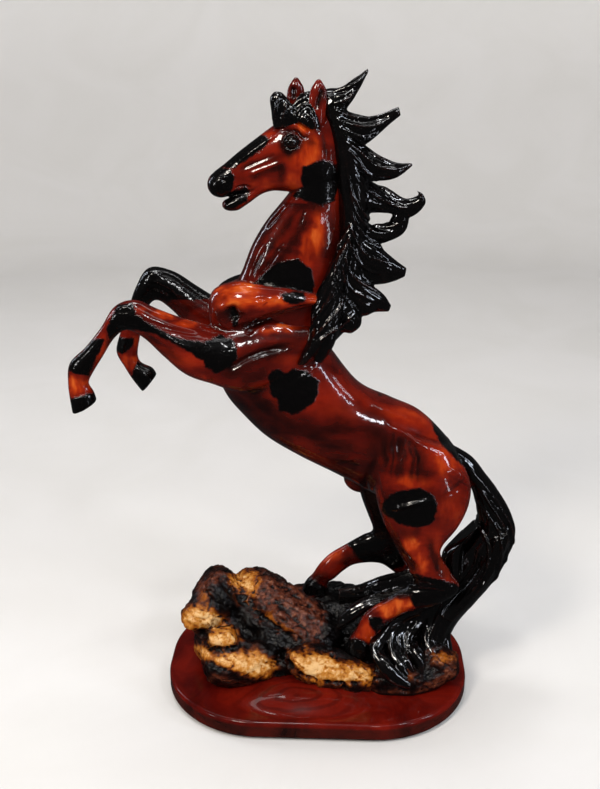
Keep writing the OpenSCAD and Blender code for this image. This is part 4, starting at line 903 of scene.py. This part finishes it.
def buildHead():
    bm = bmesh.new()
    grids = head["grids"]
    loftShell(bm, head["neck"], *grids["neck"])
    loftShell(bm, head["skull"], *grids["skull"], turn=headTurn)
    loftShell(bm, head["jaw"], *grids["jaw"], turn=headTurn)
    for place in head["ears"]:
        loftShell(bm, head["ear"], *grids["ear"], shift=place, turn=headTurn)
    for swell in head["swells"]:
        swellShell(bm, *swell, turn=headTurn)
    piece = castSkin(bm, head["voxel"], head["passes"], "horse_head")
    mesh = piece.data
    co, no = pointsOf(mesh), normalsOf(mesh)
    x, y, z = co.T
    none, full, slope, nape = head["throat"]
    onHead = ease(none, full, z - slope * np.maximum(x + nape, 0))
    skull = onHead > 0.5
    cs, sn = math.cos(headTurn), math.sin(headTurn)
    across = y * cs - x * sn
    farCheek = (across > 0) & (z <= head["earFoot"])

    def nearSide(v):  # the far half laid over the near one
        return np.where(skull[:, None], turnedOver(v, farCheek, headTurn), turnedOver(v, y > 0))

    at, facing = frontView(nearSide(co)), towards(nearSide(no))
    carve(mesh, head["strokes"], at, facing * onHead)
    carve(mesh, head["neckStrokes"], at, facing * (1 - onHead))
    co, no = pointsOf(mesh), normalsOf(mesh)
    eyeX, eyeY, eyeZ = head["eye"]
    lid = head["lid"]
    fromEye = np.sqrt((co[:, 0] * cs + co[:, 1] * sn - eyeX) ** 2 + (np.abs(across) - eyeY) ** 2
                      + (co[:, 2] - eyeZ) ** 2)
    fold = lid["height"] * np.exp(-((fromEye - lid["radius"]) / lid["width"]) ** 2)
    fold = fold * np.where(co[:, 2] > eyeZ, lid["upper"], lid["lower"])
    putPoints(mesh, co + no * (fold * (fromEye < lid["reach"]))[:, None])
    paintBlack(mesh, np.maximum(insideAny(at, head["patches"]), head["eyeBlack"] - fromEye))
    # painted shade darkens the socket round the eye
    none, full, amount = head["eyeSocketShade"]
    glazeShadeAndHighlight(mesh, co, at, head, ~skull, "neck", amount * ease(none, full, fromEye))
    paint(mesh, "limb", np.ones(len(co)))
    dress(piece, mahogany, "mahogany_resin", "head_and_neck")


buildHead()


# mane, forelock and tail: locks combed into strands

hair = {
    "voxel": 0.65, "passes": 2, "crestRounds": 20, "rub": 0.9, "facing": (-0.2, 0.3),
    "groove": (2.6, -0.9), "ridge": (0.9, 1.7),  # half width and height of what is combed in, in mm
    # points round and along, first seed, number of strands, their depth and sway
    "combs": {"crest": (96, 110, 1, 12, 0.03, 0.7), "maneLocks": (88, 60, 2, 8, 0.10, 0.3),
              "sideLocks": (72, 90, 20, 7, 0.10, 0.4), "forelockLocks": (72, 50, 30, 6, 0.05, 0.3),
              "tail": (144, 160, 40, 16, 0.12, 0.35), "tailLocks": (80, 70, 41, 9, 0.24, 0.5)},
    "crest": [[
        [2, 387, -2, 374, 0, 5], [10, 385, 4, 364, 0, 9], [19, 367, 7, 350, 0, 11], [26, 348, 9, 334, 0, 12],
        [28, 327, 10, 316, 0, 12.5], [28, 308, 9, 298, 0, 13], [27, 288, 6, 280, 0, 15],
        [25, 268, 2, 262, 0, 17], [17, 252, -4, 246, 0, 18], [4, 238, -10, 234, 0, 14]]],
    "maneLocks": [
        [[2, 389, 5, 368, 0, 8], [11, 390.5, 14, 378, -1, 7], [18, 395, 20, 387, -2, 4],
         [25.5, 400, 26, 398, -2, 1]],
        [[10, 379, 12, 354, 0, 10], [20, 376, 25, 358.5, -2, 7], [31, 375, 35, 367, -2, 4.5],
         [43, 380, 44.5, 375, -3, 1.4]],
        [[17, 364, 18, 338, 0, 11], [29, 355, 32, 338.5, -2, 7], [41, 349, 43, 340.5, -3, 4.5],
         [52, 349, 52, 347, -3, 0.8]],
        [[22, 342, 24, 320, 1, 10], [37, 334, 41, 319, 2, 6], [48, 328, 52, 317, 1, 5],
         [56, 330, 60.5, 325, 0, 4], [55, 333, 59, 331, -1, 2.5]],
        [[52, 320, 43, 321, 1, 4], [50.5, 310, 40, 315, 2, 5], [45, 305, 37, 312.5, 2, 6],
         [36, 301.5, 31, 313, 1, 7], [26, 300, 24, 315, 0, 8]],
        [[20, 312, 16, 288, -3, 10], [32, 304, 28, 279, -4, 8], [43, 294, 40, 279, -4, 5],
         [51, 288, 50, 282.5, -3, 1.4]],
        [[16, 298, 10, 276, -6, 10], [28, 282, 24, 260.5, -8, 8], [37, 274, 33, 262, -7, 5],
         [42.5, 266, 41, 262, -6, 1.4]],
        [[14, 284, 4, 268, -8, 9], [22, 268, 10, 254, -11, 8], [25, 259, 17, 250.5, -12, 5],
         [24, 254, 20, 251, -12, 1.4]]],
    "sideLocks": [
        [[22, 322, 17, 318, -9, 4], [18, 298, 5, 291, -14, 6], [13, 274, -4, 270, -18, 7],
         [8, 256, -6, 252, -21, 7.5], [-0.5, 243, -11, 240, -24, 6.5], [-7, 235.5, -13, 234.5, -25.5, 2.5]],
        [[16, 290, 8, 286, -13, 5], [14, 266, 2, 262, -19, 6], [9, 246, -2, 244, -22, 5],
         [2, 235, -3, 236, -23, 1.5]]],
    "forelockLocks": [
        [[-27, 368, -4, 374, -4, 6], [-28.5, 378, -15, 380, -4.5, 5.4], [-29, 384.5, -19.5, 384.5, -4, 4.6],
         [-26.5, 388, -22.5, 387.5, -4, 2]],
        [[-12, 387, -4, 388, -2, 4], [-16, 381, -2, 381, -5, 4.8], [-16, 374, -2, 374, -8.5, 5],
         [-7, 368, -2, 369, -12, 1.5]]],
    "tail": [[
        [78, 176, 81, 160, 2, 6], [96, 165, 92, 152, 3, 7.5], [107, 152, 98, 142, 4, 9],
        [118, 137, 102, 128, 5, 10.5], [126, 122, 103, 118, 5, 12], [129, 110, 98, 108, 5, 13],
        [126, 95, 90, 98, 4, 13], [118, 77, 83, 86, 3, 13], [106, 61, 77, 72, 2, 14], [94, 46, 71, 56, 0, 15],
        [88, 33, 66, 40, -3, 17], [86, 20, 60, 24, -6, 18]]],
    "tailLocks": [
        [[106, 122, 93, 110, 0, 8], [96, 108, 81, 99, -4, 7], [94, 96, 81, 88, -6, 6],
         [94, 84, 84, 78, -8, 4]],
        [[124, 118, 110, 110, -4, 8], [121, 94, 102, 90, -7, 8], [107, 72, 90, 72, -10, 7],
         [92, 54, 80, 58, -14, 5]],
        [[72, 67, 76, 55, -4, 7], [50.5, 58, 56, 48.5, -12, 6], [42, 51, 48.5, 42.5, -20, 5.5],
         [34, 44, 43.5, 41.5, -28, 5.5], [37, 34.5, 46.5, 39.5, -36, 5], [47, 25, 53.5, 32, -42, 4.5],
         [59.5, 21, 62, 25.5, -44, 2]],
        [[74.5, 66, 81.5, 58, -2, 7], [62.5, 54.5, 71.5, 47.5, -8, 6.5], [55.5, 45, 65, 42, -16, 6],
         [58, 36, 67, 41, -24, 5.5], [63.5, 30, 71.5, 34, -30, 5], [64.5, 24, 70.5, 26.5, -34, 2.5]],
        [[70, 64, 76, 56, -3, 5], [56, 57, 61, 50, -10, 4.5], [48, 49, 54, 43, -19, 4],
         [46, 40, 53, 41, -28, 4], [51, 31, 57, 35, -36, 3.5], [58, 24, 62, 27, -39.5, 1.4]],
        [[66, 58, 72, 52, -4, 4], [54, 50, 60, 46, -14, 3.5], [51, 42, 57, 41, -23, 3.2],
         [55, 34, 60, 37, -31, 3], [61, 27, 64, 30, -36, 1.2]],
        [[80, 62, 86, 56, -2, 6], [73, 52, 81, 47, -6, 5.5], [69, 43, 78, 41, -14, 5],
         [72, 35, 79, 37, -22, 4], [75, 28, 79, 30, -28, 1.6]],
        [[92, 58, 80, 60, 0, 8], [91, 48, 81, 48, -3, 7.5], [89.5, 39, 80, 39.5, -10, 6.5],
         [90.5, 32, 82.5, 32, -16, 5], [89, 24, 84, 25, -20, 2.5]],
        [[84, 82, 80, 62, 4, 8], [62, 78, 58, 58, 8, 8], [44, 71, 42, 52, 12, 7], [30, 63, 29, 48, 14, 6],
         [14, 57, 14, 48, 16, 4]],
        [[67, 72, 73, 60, 2, 7], [51, 67, 52, 55, 0, 7], [32, 64, 35.5, 53, -4, 7], [17, 55, 24, 47.5, -8, 6],
         [11.5, 45.5, 16, 43, -12, 2]],
        [[96, 60, 82, 52, 8, 8], [84, 45, 70, 36, 22, 8], [72, 32, 58, 26, 33, 7], [62, 20, 52, 17, 39, 3]]],
    "knobs": (8, 0.2),  # size and height in mm
    # combed lines in the front view, in mm from the middle of the picture
    "maneLines": [
        [(17.8, 187.6), (26.2, 190), (33.5, 193), (38.9, 197.2), (41.9, 202)],
        [(19.6, 180.4), (26.2, 182.2), (31.1, 185.2), (34.7, 190)],
        [(19.6, 178.6), (31.1, 173.1), (41.9, 171.7), (51.5, 174.1), (59.9, 177.9)],
        [(21.4, 171.9), (31.1, 168.3), (40.7, 166.5), (49.1, 167.7), (58.7, 173.7)],
        [(22.6, 167.1), (31.1, 162.9), (38.3, 159.9), (45.5, 160.5), (52.7, 165.9)],
        [(23.8, 163.5), (33.5, 159.9), (40.7, 154.5), (47.9, 148.5), (58.7, 144), (69.5, 144.3)],
        [(26.2, 158.7), (35.3, 152.7), (41.9, 146.7), (49.1, 141.3), (61.1, 140.1)],
        [(28, 153.9), (35.3, 146.7), (40.7, 139.5), (46.7, 135.9), (55.1, 135.9)],
        [(28.6, 150.3), (38.3, 140.7), (45.5, 134.7), (52.7, 128.1), (61.1, 122.4), (71.9, 120.8)],
        [(29.8, 141.9), (35.9, 133.5), (43.1, 126.3), (51.5, 120.8), (61.1, 116.6), (70.7, 116)],
        [(28.6, 145.5), (31.1, 129.9), (34.7, 120.2), (41.9, 110), (50.3, 104.4), (61.1, 105.8),
         (68.3, 111.2)],
        [(29.8, 135.9), (32.9, 119), (38.3, 108.2), (46.7, 101), (57.5, 101)],
        [(29.8, 121.4), (34.7, 105.8), (41.9, 96.8), (50.3, 92.6), (58.7, 86.6), (67.1, 78.8)],
        [(30.4, 109.4), (34.7, 96.2), (40.7, 87.2), (49.1, 83.6), (59.9, 80.6)],
        [(29.8, 102.2), (32.3, 90.2), (38.3, 80.6), (45.5, 75.8), (55.1, 74.6)],
        [(28, 92.6), (29.8, 78.2), (35.9, 71), (43.1, 66.7), (50.3, 62.5), (56.3, 57.1)],
        [(26.2, 86.6), (27.4, 73.4), (32.3, 64.9), (39.5, 61.3), (49.1, 55.9)],
        [(23.8, 83), (23.8, 68.5), (28.6, 58.9), (35.9, 52.3)],
        [(31.1, 104.6), (23.8, 92.6), (15.4, 81.8)],
        [(32.9, 103.4), (28, 91.4), (22.6, 80.6), (19.6, 63.7), (8.2, 45.7)],
        [(24.4, 84.2), (23.2, 69.7), (19.6, 60.1), (9.4, 46.3), (-0.2, 28.9)],
        [(29.8, 68.5), (25, 54.1), (16.6, 44.5), (5.8, 32.5)],
        [(37.1, 52.9), (26.2, 43.3), (15.4, 36.1), (7, 27.7)]],
    "forelockLines": [
        [(-7.5, 175.7), (-1.9, 181.9), (5, 185.6)], [(-4.4, 170.7), (1.2, 179.4), (7.5, 179.4), (9.9, 170.7)],
        [(3.7, 175.7), (8.7, 169.5), (9.9, 164.5)],
        [(-16.2, 171.9), (-14.9, 179.4), (-11.8, 186.9)], [(-11.8, 169.5), (-9.3, 176.9), (-7.5, 184.4)]],
    "tailLines": [
        [(108.2, -46.9), (121.9, -65.6), (130.6, -80.5), (133.1, -93.6), (129.3, -112.2), (120.6, -130.9),
         (110.7, -145.2)],
        [(103.2, -53.2), (113.2, -70.6), (123.1, -84.3), (125.6, -97.9), (122.5, -114.1), (113.2, -130.3),
         (103.2, -142.7)],
        [(102, -65.6), (109.4, -79.3), (116.9, -93.6), (115.7, -109.1), (107, -122.8), (97, -132.8)],
        [(105.7, -49.4), (118.1, -68.1), (127.5, -83), (129.3, -95.5), (126.2, -112.9), (116.9, -130.9)],
        [(110.7, -93.6), (108.2, -106.6), (99.5, -118.5), (92, -125.3)]],
}


def strands(seed, count, depth, sway):  # sharp crests with hollow grooves between them
    rng = np.random.default_rng(seed)
    # how often each wave goes round the lock, and its height
    heights = ((count // 2, 1.0), (count, 1.2), (count + 3, 0.7), (2 * count + 1, 0.5))
    whole = 3.4  # the heights together
    crest = 1.06  # crests stand a little proud of the lock
    turn = 6.3  # about 2 pi
    quickTurn, quickShare = 15, 0.4  # a smaller, quicker sway on top of the slow one
    waves = [(turns, height, rng.uniform(0, turn, 3), rng.uniform(-2, 2), rng.uniform(0.5, 1.3))
             for turns, height in heights]

    def radius(share, angle):
        r = np.full(len(share), crest)
        for turns, height, phase, drift, speed in waves:
            bent = turns * angle + phase[0] + drift * share
            slow = np.sin(turn * speed * share + phase[1])
            quick = quickShare * np.sin(quickTurn * speed * share + phase[2])
            bent = bent + sway * (slow + quick)
            r -= depth * height * np.abs(np.sin(bent / 2)) / whole
        return r
    return radius


def buildHair(name, node, lines, *shells):
    bm = bmesh.new()
    for key, how in shells:
        sides, rings, seed, *kind = hair["combs"][key]
        for i, lock in enumerate(hair[key]):
            loftShell(bm, lock, sides, rings, strands(seed + i, *kind), **how)
    piece = castSkin(bm, hair["voxel"], hair["passes"], name)
    mesh = piece.data
    co, no = pointsOf(mesh), normalsOf(mesh)
    far = co[:, 1] > 0
    at, facing = frontView(turnedOver(co, far)), towards(turnedOver(no, far), *hair["facing"])
    # a thin crest along each line with a hollow on either side
    combed = [(line, *hair[form]) for form in ("groove", "ridge") for line in hair[lines]]
    carve(mesh, combed, at, facing)
    co = pointsOf(mesh)
    size, height = hair["knobs"]
    putPoints(mesh, co + normalsOf(mesh) * (height * ripple(co, size))[:, None])
    crests = -hollows(mesh, hair["crestRounds"])
    paint(mesh, "rub", np.clip(0.5 + crests * hair["rub"], 0, 1))
    dress(piece, blackHair, "black_resin", node)


buildHair("mane_hair", "mane", "maneLines",
          ("crest", {}), ("maneLocks", {}), ("sideLocks", {}), ("sideLocks", {"flip": -1}))
buildHair("forelock_hair", "forelock", "forelockLines", ("forelockLocks", {"turn": headTurn}))
buildHair("tail_hair", "tail", "tailLines", ("tail", {}), ("tailLocks", {}))


# rock: the cast boulders, run together and roughened; paint is placed in the front view

rock = {
    "voxel": 0.95, "passes": 4, "fill": 0.75, "mostFill": 4, "hollowRounds": (12, 60), "facing": (-0.1, 0.3),
    "foot": (14.2, 19), "paintFoot": (14.2, 17),  # heights over which the relief and the paint begin
    # worn corners: place, size in mm
    "worn": [((-52.2, -145.8), 16), ((-77.1, -134), 14)], "wornRounds": 120, "wornSide": -0.2,
    "lumps": [(15, 1.8), (6, 0.7), (2.6, 0.22)],  # size and height in mm
    "wrinkles": [((0.55, 1.0, 1.25), 9, 0.9), ((0.8, 1.2, 1.0), 5, 0.5)],  # stretch, size and depth in mm
    "lean": 30, "fold": 0.22,  # of the wrinkles: degrees, and share of the noise
    # dry brushing: depths of the pits, left black by the brush and darkened as painted shade, edges and
    # straying in mm, and amounts
    "brushing": {
        "seen": 0.2, "noises": (9, 3), "pits": ((0.16, 0.75, 0.7), (0.4, 1.6, 0.6)), "crest": 0.6,
        "goldStray": 3, "underGold": (-7, 2), "goldEdge": (-5, 4.5), "onCrests": 3, "goldMissed": 0.45,
        "maroonStray": 4, "maroonEdge": (-4, 4), "maroon": 0.8, "front": (0.8, 0.5), "back": (0.35, 0.4)},
    "cracks": [
        # long cleft
        ([(-46.6, -115.7), (-35.8, -127.9), (-22.3, -139.3), (-7.5, -150.1), (1.9, -156.8)], 3.2, -2.6),
        ([(-67.5, -147.4), (-60.1, -148.1), (-57.4, -156.8), (-46.6, -158.5), (-34.5, -155.8)], 1.8, -2.4),
        ([(-12.9, -156.8), (-6.8, -165.6), (-7.5, -173.7)], 2.4, -2.2),
        ([(-61.4, -122.5), (-54.7, -122.5), (-49.3, -128.5)], 1.4, -1.2),
        ([(-60.1, -163.6), (-49.3, -170.3), (-38.5, -173.7)], 1.3, -1.4),
        ([(-8.4, -162.8), (1.8, -174.2), (22.1, -179.3), (47.5, -178)], 1.6, -1.6),
        ([(51.3, -161.5), (56.3, -171.7), (70.3, -180.6)], 2.0, -1.5),
        ([(-21.1, -122.2), (-5.8, -137.4), (9.4, -151.4)], 1.6, -0.9),
        ([(-10.9, -119.7), (9.4, -133.6)], 1.4, -0.8)],
    "gold": [  # outline and how strongly it is brushed
        ([(-73.9, -140.7), (-70.2, -135.3), (-64.8, -131.9), (-60.1, -131.9), (-54.7, -134.6), (-48.6, -138),
          (-45.3, -141.3), (-43.9, -144.7), (-46.6, -146.4), (-52, -147.1), (-58.1, -145.4), (-64.1, -143.7),
          (-70.2, -145.7)], 1.0),
        ([(-58.1, -151.5), (-54.7, -148.1), (-48, -146.1), (-40.5, -148.8), (-39.5, -152.8), (-43.9, -156.2),
          (-50.7, -157.7), (-56, -156.2)], 1.0),
        ([(-64.8, -157.5), (-60.1, -156.5), (-54.7, -161.6), (-45.3, -161.6), (-37.2, -159.9),
          (-27.7, -158.9), (-20.3, -163.6), (-15.6, -168.3), (-19, -174), (-26.4, -175.4), (-34.5, -172.7),
          (-43.9, -169.7), (-53.3, -165.6), (-60.1, -163.9)], 1.0),
        ([(-42.9, -114.4), (-37.2, -110), (-29.1, -111.3), (-26, -116.4), (-27.7, -123.1), (-33.1, -125.2),
          (-38.5, -121.8), (-42.2, -118.1)], 0.95),
        ([(-38.5, -122.5), (-26.4, -132.6), (-16.9, -138.6), (-6.2, -146.4), (3.3, -152.5), (2.6, -154.5),
          (-7.5, -148.4), (-18.3, -141.3), (-27.7, -135.3), (-37.2, -126.5)], 0.6),
        ([(-5.8, -161.5), (4.3, -159.6), (14.5, -163.4), (27.2, -167.3), (39.8, -169.8), (48.1, -175.3),
          (44.3, -179.3), (27.2, -179.9), (11.9, -178.7), (1.8, -174.9), (-3.9, -167.9)], 1.0),
        ([(81.7, -161.5), (89.3, -159.6), (97, -160.9), (97, -165.4), (89.3, -167.3), (81.7, -165.6)], 0.6),
        ([(62.7, -169.2), (69, -171.7), (72.8, -178), (67.8, -178)], 0.45),
        ([(-61.1, -123.8), (-56.7, -124.5), (-57.4, -129.9), (-60.8, -128.5)], 0.7)],
    "maroon": [
        [(-42.9, -113.7), (-29.1, -109), (-22.3, -109.7), (-9.5, -116.4), (0.6, -119.8), (8.7, -125.2),
         (15.4, -134.6), (16.8, -143.4), (12.7, -154.1), (6, -154.1), (-7.5, -146.7), (-26.4, -132.6),
         (-39.9, -121.8)],
        [(-72.9, -129.9), (-64.8, -119.8), (-56.7, -109), (-51.3, -107.3), (-45.3, -111), (-46.6, -115),
         (-54.7, -117.7), (-60.1, -121.8), (-66.8, -125.2), (-70.9, -136.6)],
        [(29.7, -186.9), (47.5, -184.4), (70.3, -184.4), (88.1, -174.2), (97, -161.5), (94.4, -146.3),
         (99.5, -153.9), (98.2, -171.7), (83, -184.4), (65.2, -189.5), (39.8, -190.7)],
        [(-55.3, -171.7), (-36.3, -178), (-18.5, -178), (-26.1, -181.8), (-43.9, -181.8), (-56.6, -176.8)]],
}


def buildRock():
    piece = castSkin(cadShape("rock"), rock["voxel"], rock["passes"], "rock_cast")
    mesh = piece.data
    co, no = pointsOf(mesh), normalsOf(mesh)
    for spot, size in rock["worn"]:  # corners worn round
        far = ((frontView(co) - spot) ** 2).sum(1) / size ** 2
        w = np.exp(-np.clip(far, 0, 40)) * (no @ viewAxes()[2] > rock["wornSide"])
        co = co + w[:, None] * (spread(mesh, co, rock["wornRounds"]) - co)
    putPoints(mesh, co)
    no = normalsOf(mesh)
    free = ease(*rock["foot"], co[:, 2])
    fineRounds, wideRounds = rock["hollowRounds"]
    # the joints between boulders filled up
    move = rock["fill"] * np.clip(hollows(mesh, wideRounds), 0, rock["mostFill"])
    move = move + sum(height * ripple(co, size) for size, height in rock["lumps"])
    leant = co @ np.array(Matrix.Rotation(math.radians(rock["lean"]), 3, "Y"))
    for stretch, size, depth in rock["wrinkles"]:  # sharp folds where the noise passes through nought
        move = move - depth * (1 - ease(0, rock["fold"], np.abs(ripple(leant * stretch, size))))
    putPoints(mesh, co + no * (move * free)[:, None])
    co = pointsOf(mesh)
    at, facing = frontView(co), towards(normalsOf(mesh), *rock["facing"])
    carve(mesh, rock["cracks"], at, facing * free)
    hand = rock["brushing"]
    seen = facing > hand["seen"]
    deep = hollows(mesh, fineRounds), hollows(mesh, wideRounds)
    rough, fine = (ripple(co, size) for size in hand["noises"])
    # painted shade: the pits darken, as well as keeping the black undercoat
    pit = sum(amount * ease(none, full, d) for d, (none, full, amount) in zip(deep, hand["pits"]))
    crest = np.clip(-deep[0], -hand["crest"], hand["crest"])
    bright = [(inside(at, outline) + hand["goldStray"] * rough, amount) for outline, amount in rock["gold"]]
    thin = [amount * ease(*hand["underGold"], d) for d, amount in bright]
    maroon = insideAny(at, rock["maroon"]) + hand["maroonStray"] * rough
    thin.append(hand["maroon"] * ease(*hand["maroonEdge"], maroon))
    even, speckled = hand["front"]
    rubbed = np.max(thin, 0) * (even + speckled * fine) - pit
    even, speckled = hand["back"]  # the back keeps a thin maroon
    rubbed = np.where(seen, rubbed, even + speckled * rough - pit)
    gold = [amount * ease(*hand["goldEdge"], d + hand["onCrests"] * crest) for d, amount in bright]
    gold = np.max(gold, 0) * seen - hand["goldMissed"] * pit
    paint(mesh, "rubbed", np.clip(rubbed * ease(*rock["paintFoot"], co[:, 2]), 0, 1))
    paint(mesh, "gold", np.clip(gold, 0, 1))
    dress(piece, rockPaint, "rock_resin", "rock")


buildRock()


# plinth: a round-ended board with rolled edges and a mound that runs up to the rock

plinth = {"length": 200, "depth": 144, "low": 1.5, "high": 13.5, "corner": 64, "edge": 2.5, "around": 320,
          "ring": 1.8, "hub": 4, "mound": ((-6, -40, 3.5), (50, 27, 19)), "fillet": 3.0}


def buildPlinth():
    low, high, edge, corner = (plinth[k] for k in ("low", "high", "edge", "corner"))
    hub = corner - plinth["hub"]  # how far in the rings go
    roll = [math.radians(a) for a in range(0, 91, 15)]
    profile = [(hub, low)] + [(edge - edge * math.sin(a), low + edge - edge * math.cos(a)) for a in roll]
    profile += [(edge - edge * math.cos(a), high - edge + edge * math.sin(a)) for a in roll]
    profile += [(inset, high) for inset in np.arange(edge + plinth["ring"], hub, plinth["ring"])]
    bm = bmesh.new()
    addTube(bm, plinth["around"], len(profile))
    straightX, straightY = plinth["length"] / 2 - corner, plinth["depth"] / 2 - corner
    quarter = straightX + straightY + corner * math.pi / 2
    (mx, my, mz), (sx, sy, sz) = plinth["mound"]
    for v in bm.verts:
        inset, z = profile[round((v.co.z + 0.5) * (len(profile) - 1))]
        # from the end towards the long side
        along = math.atan2(abs(v.co.y), abs(v.co.x)) / (math.pi / 2) * quarter
        turn = min(max((along - straightY) / corner, 0), math.pi / 2)
        x = straightX - max(along - quarter + straightX, 0) + math.cos(turn) * (corner - inset)
        y = min(along, straightY) + math.sin(turn) * (corner - inset)
        x, y = math.copysign(x, v.co.x), math.copysign(y, v.co.y)
        if z > high - 0.01:  # the top, where the mound rises and runs out in a fillet
            r = ((x - mx) / sx) ** 2 + ((y - my) / sy) ** 2
            dome = mz + sz * math.sqrt(1 - r) if r < 1 else mz - 2 * (r - 1) * sz
            z += plinth["fillet"] * math.log1p(math.exp((dome - z) / plinth["fillet"]))
        v.co = Vector((x, y, z)) * mm
    bmesh.ops.recalc_face_normals(bm, faces=bm.faces)
    dress(meshObject(bm, "plinth_board"), plinthPaint, "plinth_resin", "plinth")


buildPlinth()
print("plinth built")


# eyes: the CAD beads, smoothed

for name in ("left_eye", "right_eye"):
    bead = cadShape(name)
    soften(bead, 0.3)
    dress(meshObject(bead, name + "_bead"), beadGlass, "eye_bead", name)
print("eyes set")


# CAD parts that show as they are

finishes = {"felt_pad": felt, "plinth_screws": steel, "left_hind_wire": steel, "right_hind_wire": steel,
            "neck_dowel": steel, "foreleg_dowels": steel, "tail_dowel": steel, "mane_pins": steel}
for name, material in finishes.items():
    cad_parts[name].data.materials.clear()
    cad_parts[name].data.materials.append(material)
print("CAD parts painted")


# studio: pale sweep, soft lights and the photograph's camera

studio = {
    "radius": 1.9, "bend": 0.7, "top": 2.4, "around": 128,  # round sweep, in metres
    # lights: place and what they look at in metres, width, height, watts, colour
    "lights": {
        "key_left": ((-0.50, -0.80, 1.05), (0, 0, 0.2), 0.24, 0.24, 6.3, "#fff6ea"),
        "spot_front": ((0.16, -0.95, 0.95), (0, 0, 0.2), 0.12, 0.12, 1.5, "#ffffff"),
        "spot_right": ((0.62, -0.62, 0.95), (0, 0, 0.2), 0.15, 0.15, 2.2, "#f4f7ff"),
        "spot_high": ((-0.1, -0.35, 1.3), (0, 0, 0.2), 0.15, 0.15, 2.2, "#ffffff"),
        "spot_low": ((-0.85, -0.55, 0.45), (0, 0, 0.2), 0.09, 0.09, 0.7, "#ffffff"),
        "strip_right": ((0.95, -0.35, 0.65), (0.02, 0, 0.2), 0.07, 0.5, 2.2, "#e6efff"),
        "top_soft": ((-0.25, 0.3, 1.5), (0, 0, 0.2), 0.3, 0.3, 2.8, "#ffffff"),
        "strip_left": ((-0.95, 0.35, 0.6), (0, 0, 0.22), 0.06, 0.5, 1.3, "#eaf1ff"),
        "card_low": ((0.75, -0.75, 0.16), (0.05, 0, 0.15), 0.05, 0.3, 0.49, "#eef3ff"),
        "back_wash": ((0, 0.55, 1.9), (0, 1.5, 0.5), 2.2, 0.4, 9.8, "#ffffff"),
        "front_wash": ((0, -0.9, 2.0), (0, -1.8, 0.4), 2.2, 0.4, 6.3, "#ffffff")},
    "sky": 0.04, "skyColour": "#f4f6fa",
}


def marbleFloor():
    # honed pale marble slab, so faintly veined that it reads as a plain floor
    material, tree, shader, place = newMaterial("marble floor honed")
    veins = addNode(tree, "TexNoise", {"Vector": place, "Scale": 5.0, "Detail": 5, "Distortion": 1.2})
    colour = addNode(tree, "ValToRGB", {"Fac": veins}, stops=[(0.35, "#ebe9e6"), (0.65, "#efedeb")])
    setShader(tree, shader, Base_Color=colour, Roughness=0.35, IOR=1.5)
    return material


def buildSweep():
    radius, bend = studio["radius"], studio["bend"]
    roll = [math.radians(a) for a in range(6, 91, 6)]
    profile = [(radius - bend + bend * math.sin(a), bend - bend * math.cos(a)) for a in roll]
    bm = bmesh.new()
    bmesh.ops.create_circle(bm, cap_ends=True, segments=studio["around"], radius=radius - bend)
    rim = bm.edges[:]
    for out, height in profile + [(radius, studio["top"])]:
        made = bmesh.ops.extrude_edge_only(bm, edges=rim)["geom"]
        ring = {g for g in made if isinstance(g, bmesh.types.BMVert)}
        rim = [g for g in made if isinstance(g, bmesh.types.BMEdge) and ring.issuperset(g.verts)]
        for v in ring:
            away = Vector((v.co.x, v.co.y, 0)).normalized() * out
            v.co = (away.x, away.y, height)
    bmesh.ops.recalc_face_normals(bm, faces=bm.faces)
    if bm.faces[0].normal.z < 0:
        bmesh.ops.reverse_faces(bm, faces=bm.faces)
    floor = meshObject(bm, "floor")
    floor.data.materials.append(marbleFloor())
    floor.visible_glossy = False  # as if flagged off: the black lacquer doesn't mirror the pale floor


def aim(item, place, target):
    item.location = place
    item.rotation_euler = (Vector(target) - Vector(place)).to_track_quat("-Z", "Y").to_euler()


def buildLights():
    for name, (place, target, wide, tall, watts, code) in studio["lights"].items():
        lamp = bpy.data.lights.new(name, "AREA")
        lamp.shape, lamp.size, lamp.size_y, lamp.energy = "RECTANGLE", wide, tall, watts
        lamp.color = tint(code)[:3]
        item = bpy.data.objects.new(name, lamp)
        scene.collection.objects.link(item)
        aim(item, place, target)
    world = bpy.data.worlds.new("studio")
    world.use_nodes = True
    back = world.node_tree.nodes["Background"]
    back.inputs["Color"].default_value = tint(studio["skyColour"])
    back.inputs["Strength"].default_value = studio["sky"]
    scene.world = world
    scene.view_settings.view_transform = "Standard"  # keeps the lacquer's deep reds


def buildCamera():
    lens = bpy.data.cameras.new("photo_camera")
    lens.lens, lens.sensor_width, lens.clip_start = view["lens"], view["sensor"], 0.01
    camera = bpy.data.objects.new("photo_camera", lens)
    scene.collection.objects.link(camera)
    target = Vector(view["target"]) * mm
    aim(camera, target + Vector(viewAxes()[2]) * view["distance"] * mm, target)
    scene.camera = camera


buildSweep()
buildLights()
buildCamera()
print("studio set")
